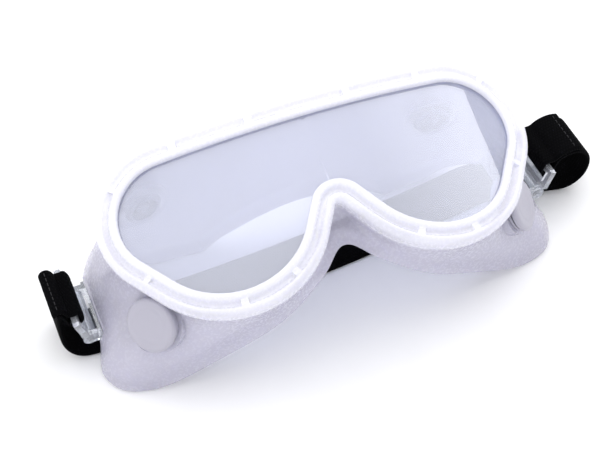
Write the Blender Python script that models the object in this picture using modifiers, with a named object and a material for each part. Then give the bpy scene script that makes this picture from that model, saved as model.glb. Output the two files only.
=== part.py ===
"""Laboratory splash goggles, lying on their face seal with the lens up.

+Z is up, +X runs along the long axis and -Y is the cheek side.  The origin is
on the plane that the goggles rest on, under the middle of the whole object.
"""
import math

import bmesh
import bpy
import numpy as np
from mathutils import Matrix, Vector

# ---- lens opening: the edge of the clear area, flattened, from its centre ----
LENS_TOP = 0.0310          # straight brow edge
CORNER_X = 0.0580          # centre of the brow corner arc
CORNER_RADIUS = 0.0210
LOBE_X = 0.0415            # centre of the cheek lobe arc
LOBE_Y = 0.0035
LOBE_RADIUS = 0.0305
NOSE_Y = -0.0085           # centre of the nose arc
NOSE_RADIUS = 0.0110
LENS_BEND = 0.300          # radius the lens is bent to
LENS_TILT = math.radians(17.0)
LENS_HEIGHT = 0.0620       # middle of the lens above the table
LENS_THICKNESS = 0.0020
LENS_SEAT = 0.0040         # how far the lens reaches under the rim lip
LENS_CLEARANCE = 0.0003
LENS_STRIP = 0.0090        # width of a flat strip across the bent lens

# ---- soft face body ----
RIM_WIDTH = 0.0090         # lens edge to the outside of the rim
RIM_CROWN = 0.0026         # rim lip above the lens
RIM_DEPTH = 0.0060         # rim below the lens surface
WALL = 0.0022
WALL_STEP = 0.0018         # wall stands in from the rim's outside
SEAL_WIDTH = 0.0080        # width of the inward face flange
SEAL_ROUND = 0.0008
WALL_ROWS = 4
WALL_EASE = 0.36           # how stiffly the wall leaves the rim and meets the seal
SEAL_LIP = 0.7             # thickness of the face flange's lip, in walls
LENS_LEDGE = 0.0012        # thickness of the ledge that the lens rests on
LEDGE_ROOT = 0.10          # where the ledge starts, in rim widths from the lens edge
RIM_UNDERCUT = 0.6         # inside of the rim's foot, in lens seats
RIM_SKIRT = 0.75           # how far down the rim's outside stays upright, in rim depths
RIM_PROFILE = (            # top of the rim as shares of its width and crown
    (0.00, 0.60),
    (0.10, 0.90),
    (0.24, 1.00),
    (0.38, 0.80),
    (0.46, 0.45),
    (0.60, 0.45),
    (0.70, 0.85),
    (0.88, 0.80),
    (1.00, 0.00),
)
FRAME_STEP = 0.4           # stations and wall shares between the points
FRAME_DROP = 0.03          # that give the wall's slope at a vent

# station counts along half of the outline, brow middle to nose middle
TOP_STEPS = 8
CORNER_STEPS = 10
SIDE_STEPS = 3
LOBE_STEPS = 10
BRIDGE_STEPS = 2
NOSE_STEPS = 4

# face seal on one side, as (station, out in x, out in y, height): its outer
# edge beside the rim's outside; a height below zero is pressed flat on the table
SEAL_HANDLES = (
    (0, 0.0000, 0.0017, 0.0200),
    (4.2, -0.0005, 0.0040, 0.0090),
    (6.8, -0.0010, 0.0060, -0.0050),
    (9.6, 0.0030, 0.0062, 0.0045),
    (12.2, 0.0098, 0.0075, 0.0055),
    (14.5, 0.0067, 0.0047, 0.0055),
    (17.4, 0.0112, 0.0057, 0.0045),
    (19.6, 0.0203, 0.0046, -0.0015),
    (21.2, 0.0193, 0.0015, -0.0015),
    (23, 0.0143, 0.0065, 0.0010),
    (25, 0.0094, 0.0103, 0.0090),
    (27.5, 0.0031, 0.0064, 0.0240),
    (31, 0.0049, -0.0042, 0.0360),
    (37, 0.0000, -0.0068, 0.0420),
)

# ---- four indirect vents ----
CHEEK_VENT = (20.7, 0.31)  # station, share of the wall's depth
BROW_VENT = (9.2, 0.45)
VENT_HOLE = 0.0070
VENT_GAP = 0.0003
BOSS_OUT = 0.0010
BOSS_IN = 0.0046
FACING = 0.0004            # left on a boss and faced off flat
SEAT_FLANGE = VENT_HOLE + 0.0028
SEAT_FLANGE_THICKNESS = 0.0010
BOSS_RADIUS = SEAT_FLANGE + 0.0017
SEAT_BEAD = VENT_HOLE + 0.0008
SEAT_WALL = 0.0012
HUB_RADIUS = 0.0030
STEM_RADIUS = 0.0014
STEM_HEAD = 0.0020
STEM_TIP = 0.0012
SPOKE_WIDTH = 0.0018
SPOKE_SHARE = 0.6          # spoke's depth as a share of the hub's
CAP_RADIUS = SEAT_FLANGE + 0.0006
CAP_THICKNESS = 0.0016
CAP_LIFT = 0.0016          # air gap under the cap
CAP_SKIRT = 0.0010
CAP_FLAT = 0.86            # flat of the cap's face, in cap radii
CAP_EDGE = 0.45            # height of the cap's bevel, in cap thicknesses
CUT_THROUGH = 0.0100       # how far a cutter runs past what it cuts
FINE_STEPS = 16
ROUND_STEPS = 24

# ---- strap anchors and clips ----
ANCHOR_STATION = 15.2
ANCHOR_SHARE = 0.82        # share of the wall's depth where it seats
ANCHOR_HEIGHT = 0.0108     # clip pivot above the table
ANCHOR_WIDTH = 0.0250
ANCHOR_TALL = 0.0076
ANCHOR_PLATE = 0.0012
ANCHOR_BOSS_OUT = 0.0002
ANCHOR_BOSS_IN = 0.0056
ANCHOR_BOSS_MARGIN = 0.0012
STUD_WIDTH = 0.0100
STUD_TALL = 0.0036
BACK_PLATE_WIDTH = 0.0170
BACK_PLATE_TALL = 0.0064
BACK_PLATE_THICKNESS = 0.0014
STUD_REACH = 0.0016        # stud past the anchor boss, through the back plate
FIT = 0.0003
EAR_WIDTH = 0.0022
EAR_RADIUS = 0.0027
EAR_TALL = 0.0048          # ear between the plate and its round end
PIVOT_OUT = 0.0036         # pivot ahead of the anchor's plate
BAR_RADIUS = 0.0014
CLIP_THICKNESS = 0.0024
CLIP_SIDE = 0.0029         # frame beside the strap slot
CLIP_SLOT_PLAY = 0.0006
CLIP_LENGTH = 0.0138       # pivot to the far side of the strap bar
CLIP_BARREL = 0.0031
CLIP_NECK_START = 0.4      # where the neck leaves the pivot, in barrel radii
CLIP_BAR = 0.0026
CLIP_RISE = math.radians(72.0)
CLIP_FRAME_START = 0.0045  # pivot to the frame
CLIP_SLOT_START = 0.0065   # pivot to the strap slot
HOOK_GAP = 0.0004          # how far the hook's mouth clears the pivot bar

# ---- elastic strap ----
STRAP_WIDTH = 0.0220
STRAP_THICKNESS = 0.0016
STRAP_LIFT = 0.0001
STRAP_JOINT_IN = 0.0150     # where the run meets a bend, in from the anchor's seat
STRAP_REACH = {"left": 0.0102, "right": 0.0248}    # widest place of a bend past the pivot
STRAP_LAP = 0.0030          # strap end past the middle of the clip bar
STRAP_RISE = 0.0050         # how stiffly the strap leaves the clip
STRAP_FOOT = 0.0100         # where the bend meets the table, in from its widest
STRAP_GAP = 0.0004
STRAP_SLANT = 0.080         # the run lies a little askew
STRAP_BROW_EDGE = 0.0116    # the run's brow edge at its middle, past the anchors' line
STRAP_BOW = 0.50            # and bows, in metres per square metre
BEND_HEIGHT = 0.55          # height of a bend's widest place, as a share of the clip's
BEND_DROP = 0.75            # how full the bend is above its widest place
BEND_CURL = 0.55            # and below it
FOOT_EASE = 0.6             # how gently it meets the table, in feet
RUN_STEPS = 12
LOOP_STEPS = 8
OVER_STEPS = 10
UNDER_STEPS = 7
CLIP_WIDTH = STRAP_WIDTH + 2 * (CLIP_SLOT_PLAY + CLIP_SIDE)

COLOURS = {
    "soft_vinyl": ((0.72, 0.70, 0.82, 1.0), 0.28, 0.0),
    "clear_lens": ((0.86, 0.87, 0.95, 1.0), 0.05, 0.0),
    "vent_plastic": ((0.62, 0.61, 0.70, 1.0), 0.40, 0.0),
    "clip_plastic": ((0.85, 0.86, 0.90, 1.0), 0.12, 0.0),
    "black_webbing": ((0.012, 0.012, 0.014, 1.0), 0.85, 0.0),
}


def clear_scene():
    """Remove every object so that the script starts from nothing."""
    for item in list(bpy.data.objects):
        bpy.data.objects.remove(item, do_unlink=True)


def new_collection(name):
    """Return a new collection linked to the scene."""
    group = bpy.data.collections.new(name)
    bpy.context.scene.collection.children.link(group)
    return group


def make_material(name):
    """Return a plain Principled material in the named finish."""
    colour, roughness, metallic = COLOURS[name]
    material = bpy.data.materials.new(name)
    material.use_nodes = True
    shader = material.node_tree.nodes["Principled BSDF"]
    shader.inputs["Base Color"].default_value = colour
    shader.inputs["Roughness"].default_value = roughness
    shader.inputs["Metallic"].default_value = metallic
    return material


def add_mesh(name, bm, group, material=None):
    """Turn a bmesh into a named object in a collection."""
    mesh = bpy.data.meshes.new(name)
    bmesh.ops.recalc_face_normals(bm, faces=bm.faces)
    bm.to_mesh(mesh)
    bm.free()
    item = bpy.data.objects.new(name, mesh)
    group.objects.link(item)
    if material is not None:
        mesh.materials.append(material)
    return item


def as_cutter(item):
    """Mark an object as a helper that isn't part of the goggles."""
    item.hide_render = True
    item.display_type = "WIRE"
    return item


def boolean(item, other, operation):
    """Join or cut an object with a helper."""
    modifier = item.modifiers.new(operation.lower(), "BOOLEAN")
    modifier.operation = operation
    modifier.object = other


# ---------------------------------------------------------------- outlines


def arc_points(centre, radius, start, end, steps, outward=1.0):
    """Points and outward normals on an arc, without its last point."""
    rows = []
    for step in range(steps):
        angle = start + (end - start) * step / steps
        normal = np.array([math.cos(angle), math.sin(angle)])
        rows.append((centre + radius * normal, outward * normal))
    return rows


def line_points(start, end, normal, steps):
    """Points and normals on a straight stretch, without its last point."""
    return [(start + (end - start) * step / steps, normal) for step in range(steps)]


def half_outline():
    """Lens opening from the brow's middle round one lobe to the nose's middle."""
    corner = np.array([CORNER_X, LENS_TOP - CORNER_RADIUS])
    lobe = np.array([LOBE_X, LOBE_Y])
    nose = np.array([0.0, NOSE_Y])
    span = lobe - corner
    side_angle = (math.atan2(span[1], span[0])
                  + math.acos((CORNER_RADIUS - LOBE_RADIUS) / np.linalg.norm(span)))
    span = nose - lobe
    bridge_angle = (math.atan2(span[1], span[0])
                    + math.acos((LOBE_RADIUS + NOSE_RADIUS) / np.linalg.norm(span)))
    side_normal = np.array([math.cos(side_angle), math.sin(side_angle)])
    bridge_normal = np.array([math.cos(bridge_angle), math.sin(bridge_angle)])
    up = np.array([0.0, 1.0])
    rows = line_points(np.array([0.0, LENS_TOP]), np.array([CORNER_X, LENS_TOP]), up, TOP_STEPS)
    rows += arc_points(corner, CORNER_RADIUS, math.pi / 2, side_angle, CORNER_STEPS)
    rows += line_points(corner + CORNER_RADIUS * side_normal,
                        lobe + LOBE_RADIUS * side_normal, side_normal, SIDE_STEPS)
    rows += arc_points(lobe, LOBE_RADIUS, side_angle, bridge_angle, LOBE_STEPS)
    rows += line_points(lobe + LOBE_RADIUS * bridge_normal,
                        nose - NOSE_RADIUS * bridge_normal, bridge_normal, BRIDGE_STEPS)
    rows += arc_points(nose, NOSE_RADIUS, bridge_angle + math.pi, math.pi / 2, NOSE_STEPS, -1.0)
    rows.append((nose + NOSE_RADIUS * up, -up))
    return rows


HALF = half_outline()
LAST = len(HALF) - 1


def bent(u, v, w):
    """World point of a flattened lens position u, v at height w."""
    angle = u / LENS_BEND
    x = (LENS_BEND + w) * math.sin(angle)
    rise = (LENS_BEND + w) * math.cos(angle) - LENS_BEND
    y = v * math.cos(LENS_TILT) - rise * math.sin(LENS_TILT)
    z = v * math.sin(LENS_TILT) + rise * math.cos(LENS_TILT) + LENS_HEIGHT
    return np.array([x, y, z])


def rim_point(station, offset, w):
    """World point beside the rim at a station, offset out from the lens edge."""
    low = min(int(math.floor(station)), LAST - 1)
    share = station - low
    point = HALF[low][0] * (1 - share) + HALF[low + 1][0] * share
    normal = HALF[low][1] * (1 - share) + HALF[low + 1][1] * share
    normal = normal / np.linalg.norm(normal)
    u, v = point + offset * normal
    return bent(u, v, w)


def mirrored_handles():
    """Seal handles in place, with one more beyond each end, mirrored across the middle."""
    rows = []
    for station, out_x, out_y, height in SEAL_HANDLES:
        rim = rim_point(station, RIM_WIDTH, 0.0)
        rows.append(np.array([station, rim[0] + out_x, rim[1] + out_y, height]))
    before = rows[1] * np.array([-1, -1, 1, 1])
    after = rows[-2] * np.array([1, -1, 1, 1])
    after[0] = 2 * LAST - rows[-2][0]
    return [before] + rows + [after]


HANDLES = mirrored_handles()


def seal_point(station):
    """Outer bottom edge of the face seal, a smooth curve through its handles."""
    index = 1
    while index < len(HANDLES) - 3 and station > HANDLES[index + 1][0]:
        index += 1
    before, start, end, after = HANDLES[index - 1:index + 3]
    length = end[0] - start[0]
    t = (station - start[0]) / length
    slope_start = (end - before)[1:] / (end - before)[0] * length
    slope_end = (after - start)[1:] / (after - start)[0] * length
    value = ((2 * t**3 - 3 * t**2 + 1) * start[1:] + (t**3 - 2 * t**2 + t) * slope_start
             + (3 * t**2 - 2 * t**3) * end[1:] + (t**3 - t**2) * slope_end)
    value[2] = max(value[2], 0.0)
    return value


def seal_inward(station):
    """Horizontal direction from the seal's outer edge into the mask."""
    step = 0.25
    low = max(station - step, 0.0)
    high = min(station + step, LAST)
    along = seal_point(high) - seal_point(low)
    if station <= 0.0 or station >= LAST:
        along[1] = 0.0
    inward = np.array([along[1], -along[0], 0.0])
    return inward / np.linalg.norm(inward)


def wall_point(station, share, inset):
    """Point on the wall, from under the rim (0) down to the seal (1)."""
    top_offset = RIM_WIDTH - WALL_STEP - inset
    top = rim_point(station, top_offset, -RIM_DEPTH)
    below = rim_point(station, top_offset, -RIM_DEPTH - WALL)
    down = (below - top) / np.linalg.norm(below - top)
    bottom = seal_point(station) + seal_inward(station) * inset
    bottom[2] += SEAL_ROUND if inset == 0.0 else WALL
    reach = WALL_EASE * np.linalg.norm(bottom - top)
    first = top + down * reach
    second = bottom + np.array([0.0, 0.0, reach])
    t = share
    return ((1 - t)**3 * top + 3 * (1 - t)**2 * t * first
            + 3 * (1 - t) * t**2 * second + t**3 * bottom)


def wall_frame(station, share):
    """Place on the wall's outside and its outward normal."""
    here = wall_point(station, share, 0.0)
    along = (wall_point(station + FRAME_STEP, share, 0.0)
             - wall_point(station - FRAME_STEP, share, 0.0))
    down = (wall_point(station, share + FRAME_DROP, 0.0)
            - wall_point(station, share - FRAME_DROP, 0.0))
    normal = np.cross(along, down)
    normal /= np.linalg.norm(normal)
    if normal @ np.array([here[0], here[1] - LOBE_Y, 0.0]) < 0:
        normal = -normal
    return here, normal


# ---------------------------------------------------------------- face body


def section(station):
    """Closed wall section at a station, from the rim lip out, down and back."""
    slot = LENS_CLEARANCE
    seat = LENS_SEAT + LENS_CLEARANCE
    floor = -LENS_THICKNESS - LENS_CLEARANCE
    rim = [(width * RIM_WIDTH, crown * RIM_CROWN) for width, crown in RIM_PROFILE]
    rim.append((RIM_WIDTH, -RIM_SKIRT * RIM_DEPTH))
    points = [rim_point(station, n, w) for n, w in rim]
    points += [wall_point(station, row / WALL_ROWS, 0.0) for row in range(WALL_ROWS + 1)]
    edge = seal_point(station)
    inward = seal_inward(station)
    points.append(edge + inward * SEAL_ROUND)
    points.append(edge + inward * SEAL_WIDTH)
    top = edge + inward * SEAL_WIDTH
    top[2] += SEAL_LIP * WALL
    points.append(top)
    points += [wall_point(station, 1 - row / WALL_ROWS, WALL) for row in range(WALL_ROWS + 1)]
    back = [
        (RIM_UNDERCUT * LENS_SEAT, -RIM_DEPTH),
        (LEDGE_ROOT * RIM_WIDTH, floor - LENS_LEDGE),
        (LEDGE_ROOT * RIM_WIDTH, floor),
        (seat, floor),
        (seat, slot),
        (0.0, slot),
    ]
    points += [rim_point(station, n, w) for n, w in back]
    return points


def build_face_body(group, material):
    """Loft the soft body: one closed section carried round the whole outline."""
    rings = [section(station) for station in range(LAST + 1)]
    mirror = np.array([-1.0, 1.0, 1.0])
    rings += [[point * mirror for point in rings[index]] for index in range(LAST - 1, 0, -1)]
    bm = bmesh.new()
    loops = [[bm.verts.new(point) for point in ring] for ring in rings]
    count = len(loops[0])
    for index, loop in enumerate(loops):
        following = loops[(index + 1) % len(loops)]
        for corner in range(count):
            after = (corner + 1) % count
            bm.faces.new((loop[corner], loop[after], following[after], following[corner]))
    bmesh.ops.triangulate(bm, faces=bm.faces)
    return add_mesh("face_body", bm, group, material)


# ---------------------------------------------------------------- lens


def build_lens(group, material):
    """Cut the lens from a flat outline, bend it and give it its thickness."""
    outline = []
    for point, normal in HALF:
        outline.append(point + LENS_SEAT * normal)
    outline += [point * np.array([-1.0, 1.0]) for point in outline[-2:0:-1]]
    bm = bmesh.new()
    bm.faces.new([bm.verts.new((point[0], point[1], 0.0)) for point in outline])
    half_width = max(point[0] for point in outline)
    cuts = int(half_width / LENS_STRIP)
    for index in range(-cuts, cuts + 1):
        bmesh.ops.bisect_plane(bm, geom=bm.verts[:] + bm.edges[:] + bm.faces[:],
                               plane_co=(index * LENS_STRIP, 0, 0), plane_no=(1, 0, 0))
    bmesh.ops.triangulate(bm, faces=bm.faces)
    top = bm.faces[:]
    extruded = bmesh.ops.extrude_face_region(bm, geom=top, use_keep_orig=True)
    lower = {part for part in extruded["geom"] if isinstance(part, bmesh.types.BMVert)}
    for vertex in bm.verts:
        depth = -LENS_THICKNESS if vertex in lower else 0.0
        vertex.co = bent(vertex.co.x, vertex.co.y, depth)
    return add_mesh("lens", bm, group, material)


# ---------------------------------------------------------------- vents


def turned(name, profile, group, material=None, steps=ROUND_STEPS):
    """Spin a profile of (radius, height) pairs, listed from the axis and back."""
    mesh = bpy.data.meshes.new(name)
    vertices = [(radius, 0.0, height) for radius, height in profile]
    edges = [(index, index + 1) for index in range(len(profile) - 1)]
    if profile[0][0] > 0.0:
        edges.append((len(profile) - 1, 0))
    mesh.from_pydata(vertices, edges, [])
    item = bpy.data.objects.new(name, mesh)
    group.objects.link(item)
    screw = item.modifiers.new("turn", "SCREW")
    screw.steps = steps
    screw.render_steps = steps
    screw.use_merge_vertices = True
    screw.merge_threshold = 0.00001
    if material is not None:
        mesh.materials.append(material)
    return item


def box(name, size, centre, group, material=None):
    """A box of the given size, with its origin at its centre."""
    bm = bmesh.new()
    bmesh.ops.create_cube(bm, size=1.0)
    bmesh.ops.scale(bm, vec=size, verts=bm.verts)
    bmesh.ops.translate(bm, vec=centre, verts=bm.verts)
    return add_mesh(name, bm, group, material)


def rod(name, radius, length, group, material=None, steps=ROUND_STEPS):
    """A cylinder along Y, centred on its origin."""
    bm = bmesh.new()
    bmesh.ops.create_cone(bm, cap_ends=True, segments=steps, radius1=radius,
                          radius2=radius, depth=length)
    bmesh.ops.rotate(bm, cent=(0, 0, 0), matrix=Matrix.Rotation(math.pi / 2, 3, "X"),
                     verts=bm.verts)
    return add_mesh(name, bm, group, material)


def vent_matrix(station, share, side):
    """Frame on the wall's outside: local +Z points out of the goggles."""
    here, normal = wall_frame(station, share)
    here = Vector((here[0] * side, here[1], here[2]))
    normal = Vector((normal[0] * side, normal[1], normal[2]))
    turn = normal.to_track_quat("Z", "Y").to_matrix().to_4x4()
    return Matrix.Translation(here) @ turn


def build_vent(name, place, group, cutters, material):
    """A seat snapped through the wall and the cap that shields it."""
    boss = turned(name + "_boss", [
        (0.0, BOSS_OUT + FACING), (BOSS_RADIUS, BOSS_OUT + FACING),
        (BOSS_RADIUS, -BOSS_IN), (0.0, -BOSS_IN)], cutters)
    relief = max(CAP_RADIUS, BOSS_RADIUS) + 4 * VENT_GAP
    outer = BOSS_OUT + CUT_THROUGH
    inner = -BOSS_IN - CUT_THROUGH
    hole = turned(name + "_hole", [
        (0.0, outer), (relief, outer), (relief, BOSS_OUT),
        (VENT_HOLE, BOSS_OUT), (VENT_HOLE, inner), (0.0, inner)], cutters)
    tube = VENT_HOLE - VENT_GAP
    flange = BOSS_OUT + VENT_GAP
    bead = -BOSS_IN - VENT_GAP
    bore = tube - SEAT_WALL
    seat = turned(name + "_seat", [
        (bore, flange + SEAT_FLANGE_THICKNESS), (SEAT_FLANGE, flange + SEAT_FLANGE_THICKNESS),
        (SEAT_FLANGE, flange), (tube, flange), (tube, bead), (SEAT_BEAD, bead),
        (tube, bead - SEAT_WALL), (bore, bead - SEAT_WALL)], group, material)
    hub_top = flange + SEAT_FLANGE_THICKNESS
    hub_bottom = bead
    hub = turned(name + "_hub", [(0.0, hub_top), (HUB_RADIUS, hub_top),
                                 (HUB_RADIUS, hub_bottom), (0.0, hub_bottom)], cutters)
    helpers = [boss, hole, hub]
    boolean(seat, hub, "UNION")
    for index in range(2):
        spoke = box(name + "_spoke_%d" % index,
                    (2 * bore + SEAT_WALL, SPOKE_WIDTH, SPOKE_SHARE * (hub_top - hub_bottom)),
                    (0, 0, 0.5 * (hub_top + hub_bottom)), cutters)
        spoke.rotation_euler.z = index * math.pi / 2
        boolean(seat, spoke, "UNION")
        helpers.append(spoke)
    bore_cut = turned(name + "_stem_hole", [
        (0.0, hub_top + CUT_THROUGH), (STEM_RADIUS + FIT, hub_top + CUT_THROUGH),
        (STEM_RADIUS + FIT, hub_bottom - CUT_THROUGH),
        (0.0, hub_bottom - CUT_THROUGH)], cutters, steps=FINE_STEPS)
    helpers.append(bore_cut)
    boolean(seat, bore_cut, "DIFFERENCE")
    under = hub_top + CAP_LIFT
    stem_end = hub_bottom - FIT
    cap = turned(name + "_cap", [
        (0.0, under + CAP_THICKNESS), (CAP_FLAT * CAP_RADIUS, under + CAP_THICKNESS),
        (CAP_RADIUS, under + CAP_EDGE * CAP_THICKNESS), (CAP_RADIUS, under - CAP_SKIRT),
        (CAP_RADIUS - CAP_SKIRT, under - CAP_SKIRT), (CAP_RADIUS - CAP_SKIRT, under),
        (STEM_RADIUS, under), (STEM_RADIUS, stem_end), (STEM_HEAD, stem_end - FIT),
        (STEM_RADIUS, stem_end - STEM_TIP), (0.0, stem_end - STEM_TIP)], group, material)
    for item in [seat, cap] + helpers:
        item.matrix_world = place @ item.matrix_basis
    for item in helpers:
        as_cutter(item)
    return boss, (hole,)


# ---------------------------------------------------------------- anchors, clips


def anchor_plane():
    """Outward place of the flat that an anchor seats on."""
    here = wall_point(ANCHOR_STATION, ANCHOR_SHARE, 0.0)
    return here[0] + ANCHOR_BOSS_OUT, seal_point(ANCHOR_STATION)[1]


ANCHOR_X, ANCHOR_Y = anchor_plane()
PIVOT_X = ANCHOR_X + FIT + ANCHOR_PLATE + PIVOT_OUT


def build_anchor(side_name, side, group, cutters, material):
    """Anchor plate with its ears and bar outside, its back plate inside."""
    height = ANCHOR_HEIGHT
    depth = ANCHOR_BOSS_OUT + ANCHOR_BOSS_IN
    boss_width = ANCHOR_WIDTH + 2 * ANCHOR_BOSS_MARGIN
    boss_tall = ANCHOR_TALL + 2 * ANCHOR_BOSS_MARGIN
    boss = box("anchor_boss_" + side_name, (depth + FACING, boss_width, boss_tall),
               (side * (ANCHOR_X + FACING - (depth + FACING) / 2), ANCHOR_Y, height), cutters)
    face = box("anchor_face_" + side_name,
               (2 * depth, boss_width + 2 * FACING, boss_tall + 2 * FACING),
               (side * (ANCHOR_X + depth), ANCHOR_Y, height), cutters)
    slot = box("anchor_slot_" + side_name,
               (4 * depth, STUD_WIDTH + 2 * FIT, STUD_TALL + 2 * FIT),
               (side * (ANCHOR_X - depth / 2), ANCHOR_Y, height), cutters)
    outer = ANCHOR_X + FIT
    anchor = box("strap_anchor_" + side_name, (ANCHOR_PLATE, ANCHOR_WIDTH, ANCHOR_TALL),
                 (side * (outer + ANCHOR_PLATE / 2), ANCHOR_Y, height), group, material)
    inner = ANCHOR_X - depth - FIT
    stud_start = inner - STUD_REACH
    stud_length = outer - stud_start + ANCHOR_PLATE / 2
    stud = box("anchor_stud_" + side_name, (stud_length, STUD_WIDTH, STUD_TALL),
               (side * (stud_start + stud_length / 2), ANCHOR_Y, height), cutters)
    boolean(anchor, stud, "UNION")
    helpers = [boss, face, slot, stud]
    for sign in (-1, 1):
        ear_y = ANCHOR_Y + sign * (ANCHOR_WIDTH - EAR_WIDTH) / 2
        block = box("anchor_ear_%s_%d" % (side_name, sign),
                    (PIVOT_OUT + ANCHOR_PLATE / 2, EAR_WIDTH, EAR_TALL),
                    (side * (PIVOT_X - (PIVOT_OUT + ANCHOR_PLATE / 2) / 2), ear_y, height), cutters)
        nose = rod("anchor_ear_end_%s_%d" % (side_name, sign), EAR_RADIUS, EAR_WIDTH, cutters)
        nose.location = (side * PIVOT_X, ear_y, height)
        boolean(anchor, block, "UNION")
        boolean(anchor, nose, "UNION")
        helpers += [block, nose]
    bar = rod("anchor_bar_" + side_name, BAR_RADIUS, ANCHOR_WIDTH - EAR_WIDTH, cutters, steps=FINE_STEPS)
    bar.location = (side * PIVOT_X, ANCHOR_Y, height)
    boolean(anchor, bar, "UNION")
    helpers.append(bar)
    plate = box("anchor_back_plate_" + side_name,
                (BACK_PLATE_THICKNESS, BACK_PLATE_WIDTH, BACK_PLATE_TALL),
                (side * (inner - BACK_PLATE_THICKNESS / 2), ANCHOR_Y, height), group, material)
    plate_hole = box("back_plate_hole_" + side_name,
                     (4 * BACK_PLATE_THICKNESS, STUD_WIDTH + 2 * FIT, STUD_TALL + 2 * FIT),
                     (side * (inner - BACK_PLATE_THICKNESS / 2), ANCHOR_Y, height), cutters)
    boolean(plate, plate_hole, "DIFFERENCE")
    helpers.append(plate_hole)
    for item in helpers:
        as_cutter(item)
    return boss, (face, slot)


def clip_matrix(side):
    """Frame of a clip: origin on its pivot, local +X along the clip."""
    turn = Matrix.Rotation(-CLIP_RISE, 4, "Y")
    place = Matrix.Translation(Vector((side * PIVOT_X, ANCHOR_Y, ANCHOR_HEIGHT)))
    flip = Matrix.Identity(4)
    if side < 0:
        flip = Matrix.Rotation(math.pi, 4, "Z")
    return place @ flip @ turn


def build_clip(side_name, side, group, cutters, material):
    """Clear clip: a frame with a strap bar and a barrel that turns on the anchor."""
    barrel_width = ANCHOR_WIDTH - 2 * EAR_WIDTH - 2 * FIT
    start = CLIP_BARREL * CLIP_NECK_START
    clip = box("strap_clip_" + side_name,
               (CLIP_LENGTH - CLIP_FRAME_START, CLIP_WIDTH, CLIP_THICKNESS),
               ((CLIP_LENGTH + CLIP_FRAME_START) / 2, 0, 0), group, material)
    neck = box("clip_neck_" + side_name, (CLIP_SLOT_START - start, barrel_width, CLIP_THICKNESS),
               ((CLIP_SLOT_START + start) / 2, 0, 0), cutters)
    barrel = rod("clip_barrel_" + side_name, CLIP_BARREL, barrel_width, cutters)
    bore = rod("clip_bore_" + side_name, BAR_RADIUS + FIT, barrel_width + 2 * EAR_WIDTH, cutters,
               steps=FINE_STEPS)
    gap = box("clip_gap_" + side_name,
              (2 * CLIP_BARREL, barrel_width + 2 * EAR_WIDTH, 2 * BAR_RADIUS),
              (-CLIP_BARREL - HOOK_GAP, 0, 0), cutters)
    slot_width = STRAP_WIDTH + 2 * CLIP_SLOT_PLAY
    slot_start = CLIP_SLOT_START
    slot_end = CLIP_LENGTH - CLIP_BAR
    slot = box("clip_slot_" + side_name, (slot_end - slot_start, slot_width, 4 * CLIP_THICKNESS),
               ((slot_start + slot_end) / 2, 0, 0), cutters)
    for helper, operation in ((neck, "UNION"), (barrel, "UNION"), (bore, "DIFFERENCE"),
                              (gap, "DIFFERENCE"), (slot, "DIFFERENCE")):
        boolean(clip, helper, operation)
    place = clip_matrix(side)
    for item in (clip, neck, barrel, bore, gap, slot):
        item.matrix_world = place @ item.matrix_basis
    for item in (neck, barrel, bore, gap, slot):
        as_cutter(item)


# ---------------------------------------------------------------- strap


def strap_plan(x):
    """Where the strap's centre line lies in Y as it passes under the mask."""
    return (ANCHOR_Y + STRAP_BROW_EDGE - STRAP_WIDTH / 2
            + STRAP_SLANT * x + STRAP_BOW * x * x)


def ribbon(name, path, group, material):
    """A flat strip that follows (x, y, z) points, with the strap's width along Y."""
    bm = bmesh.new()
    rows = []
    for x, y, z in path:
        rows.append([bm.verts.new((x, y + edge * STRAP_WIDTH / 2, z)) for edge in (-1, 1)])
    for near, far in zip(rows, rows[1:]):
        bm.faces.new((near[0], near[1], far[1], far[0]))
    item = add_mesh(name, bm, group, material)
    solid = item.modifiers.new("webbing", "SOLIDIFY")
    solid.thickness = STRAP_THICKNESS
    solid.offset = 0.0
    solid.use_even_offset = True
    return item


def loop_path():
    """Strap end round the clip's bar, in the clip's own (x, z): tail, bend, run."""
    radius = math.hypot(CLIP_BAR, CLIP_THICKNESS) / 2 + STRAP_GAP + STRAP_THICKNESS / 2
    centre = CLIP_LENGTH - CLIP_BAR / 2
    path = [(centre + STRAP_LAP, radius)]
    for step in range(LOOP_STEPS + 1):
        angle = math.pi / 2 + math.pi * step / LOOP_STEPS
        path.append((centre + radius * math.cos(angle), radius * math.sin(angle)))
    path.append((centre + STRAP_LAP, -radius))
    return path


def cubic(first, second, third, fourth, steps):
    """Points on a Bezier curve, without its first point."""
    points = []
    for step in range(1, steps + 1):
        t = step / steps
        point = ((1 - t)**3 * first + 3 * (1 - t)**2 * t * second
                 + 3 * (1 - t) * t**2 * third + t**3 * fourth)
        points.append(point)
    return points


def bend_path(start, heading, reach, level, joint):
    """Strap from a clip up, over and down to the table, then in under the mask."""
    widest = np.array([reach, BEND_HEIGHT * (start[1] + level)])
    landing = np.array([reach - STRAP_FOOT, level])
    path = [start]
    path += cubic(start, start + STRAP_RISE * heading,
                  widest + np.array([0.0, BEND_DROP * (start[1] - level)]), widest, OVER_STEPS)
    path += cubic(widest, widest - np.array([0.0, BEND_CURL * widest[1]]),
                  landing + np.array([FOOT_EASE * STRAP_FOOT, 0.0]), landing, UNDER_STEPS)
    path.append(np.array([joint + FIT / 2, level]))
    return path


def drifting(path, side):
    """Give a bend's (x, z) points their Y, from the clip's middle to the run's."""
    lengths = [0.0]
    for near, far in zip(path, path[1:]):
        lengths.append(lengths[-1] + np.linalg.norm(far - near))
    finish = strap_plan(side * path[-1][0])
    rows = []
    for (x, z), length in zip(path, lengths):
        share = length / lengths[-1]
        ease = share * share * (3 - 2 * share)
        rows.append((side * x, ANCHOR_Y + ease * (finish - ANCHOR_Y), z))
    return rows


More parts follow.
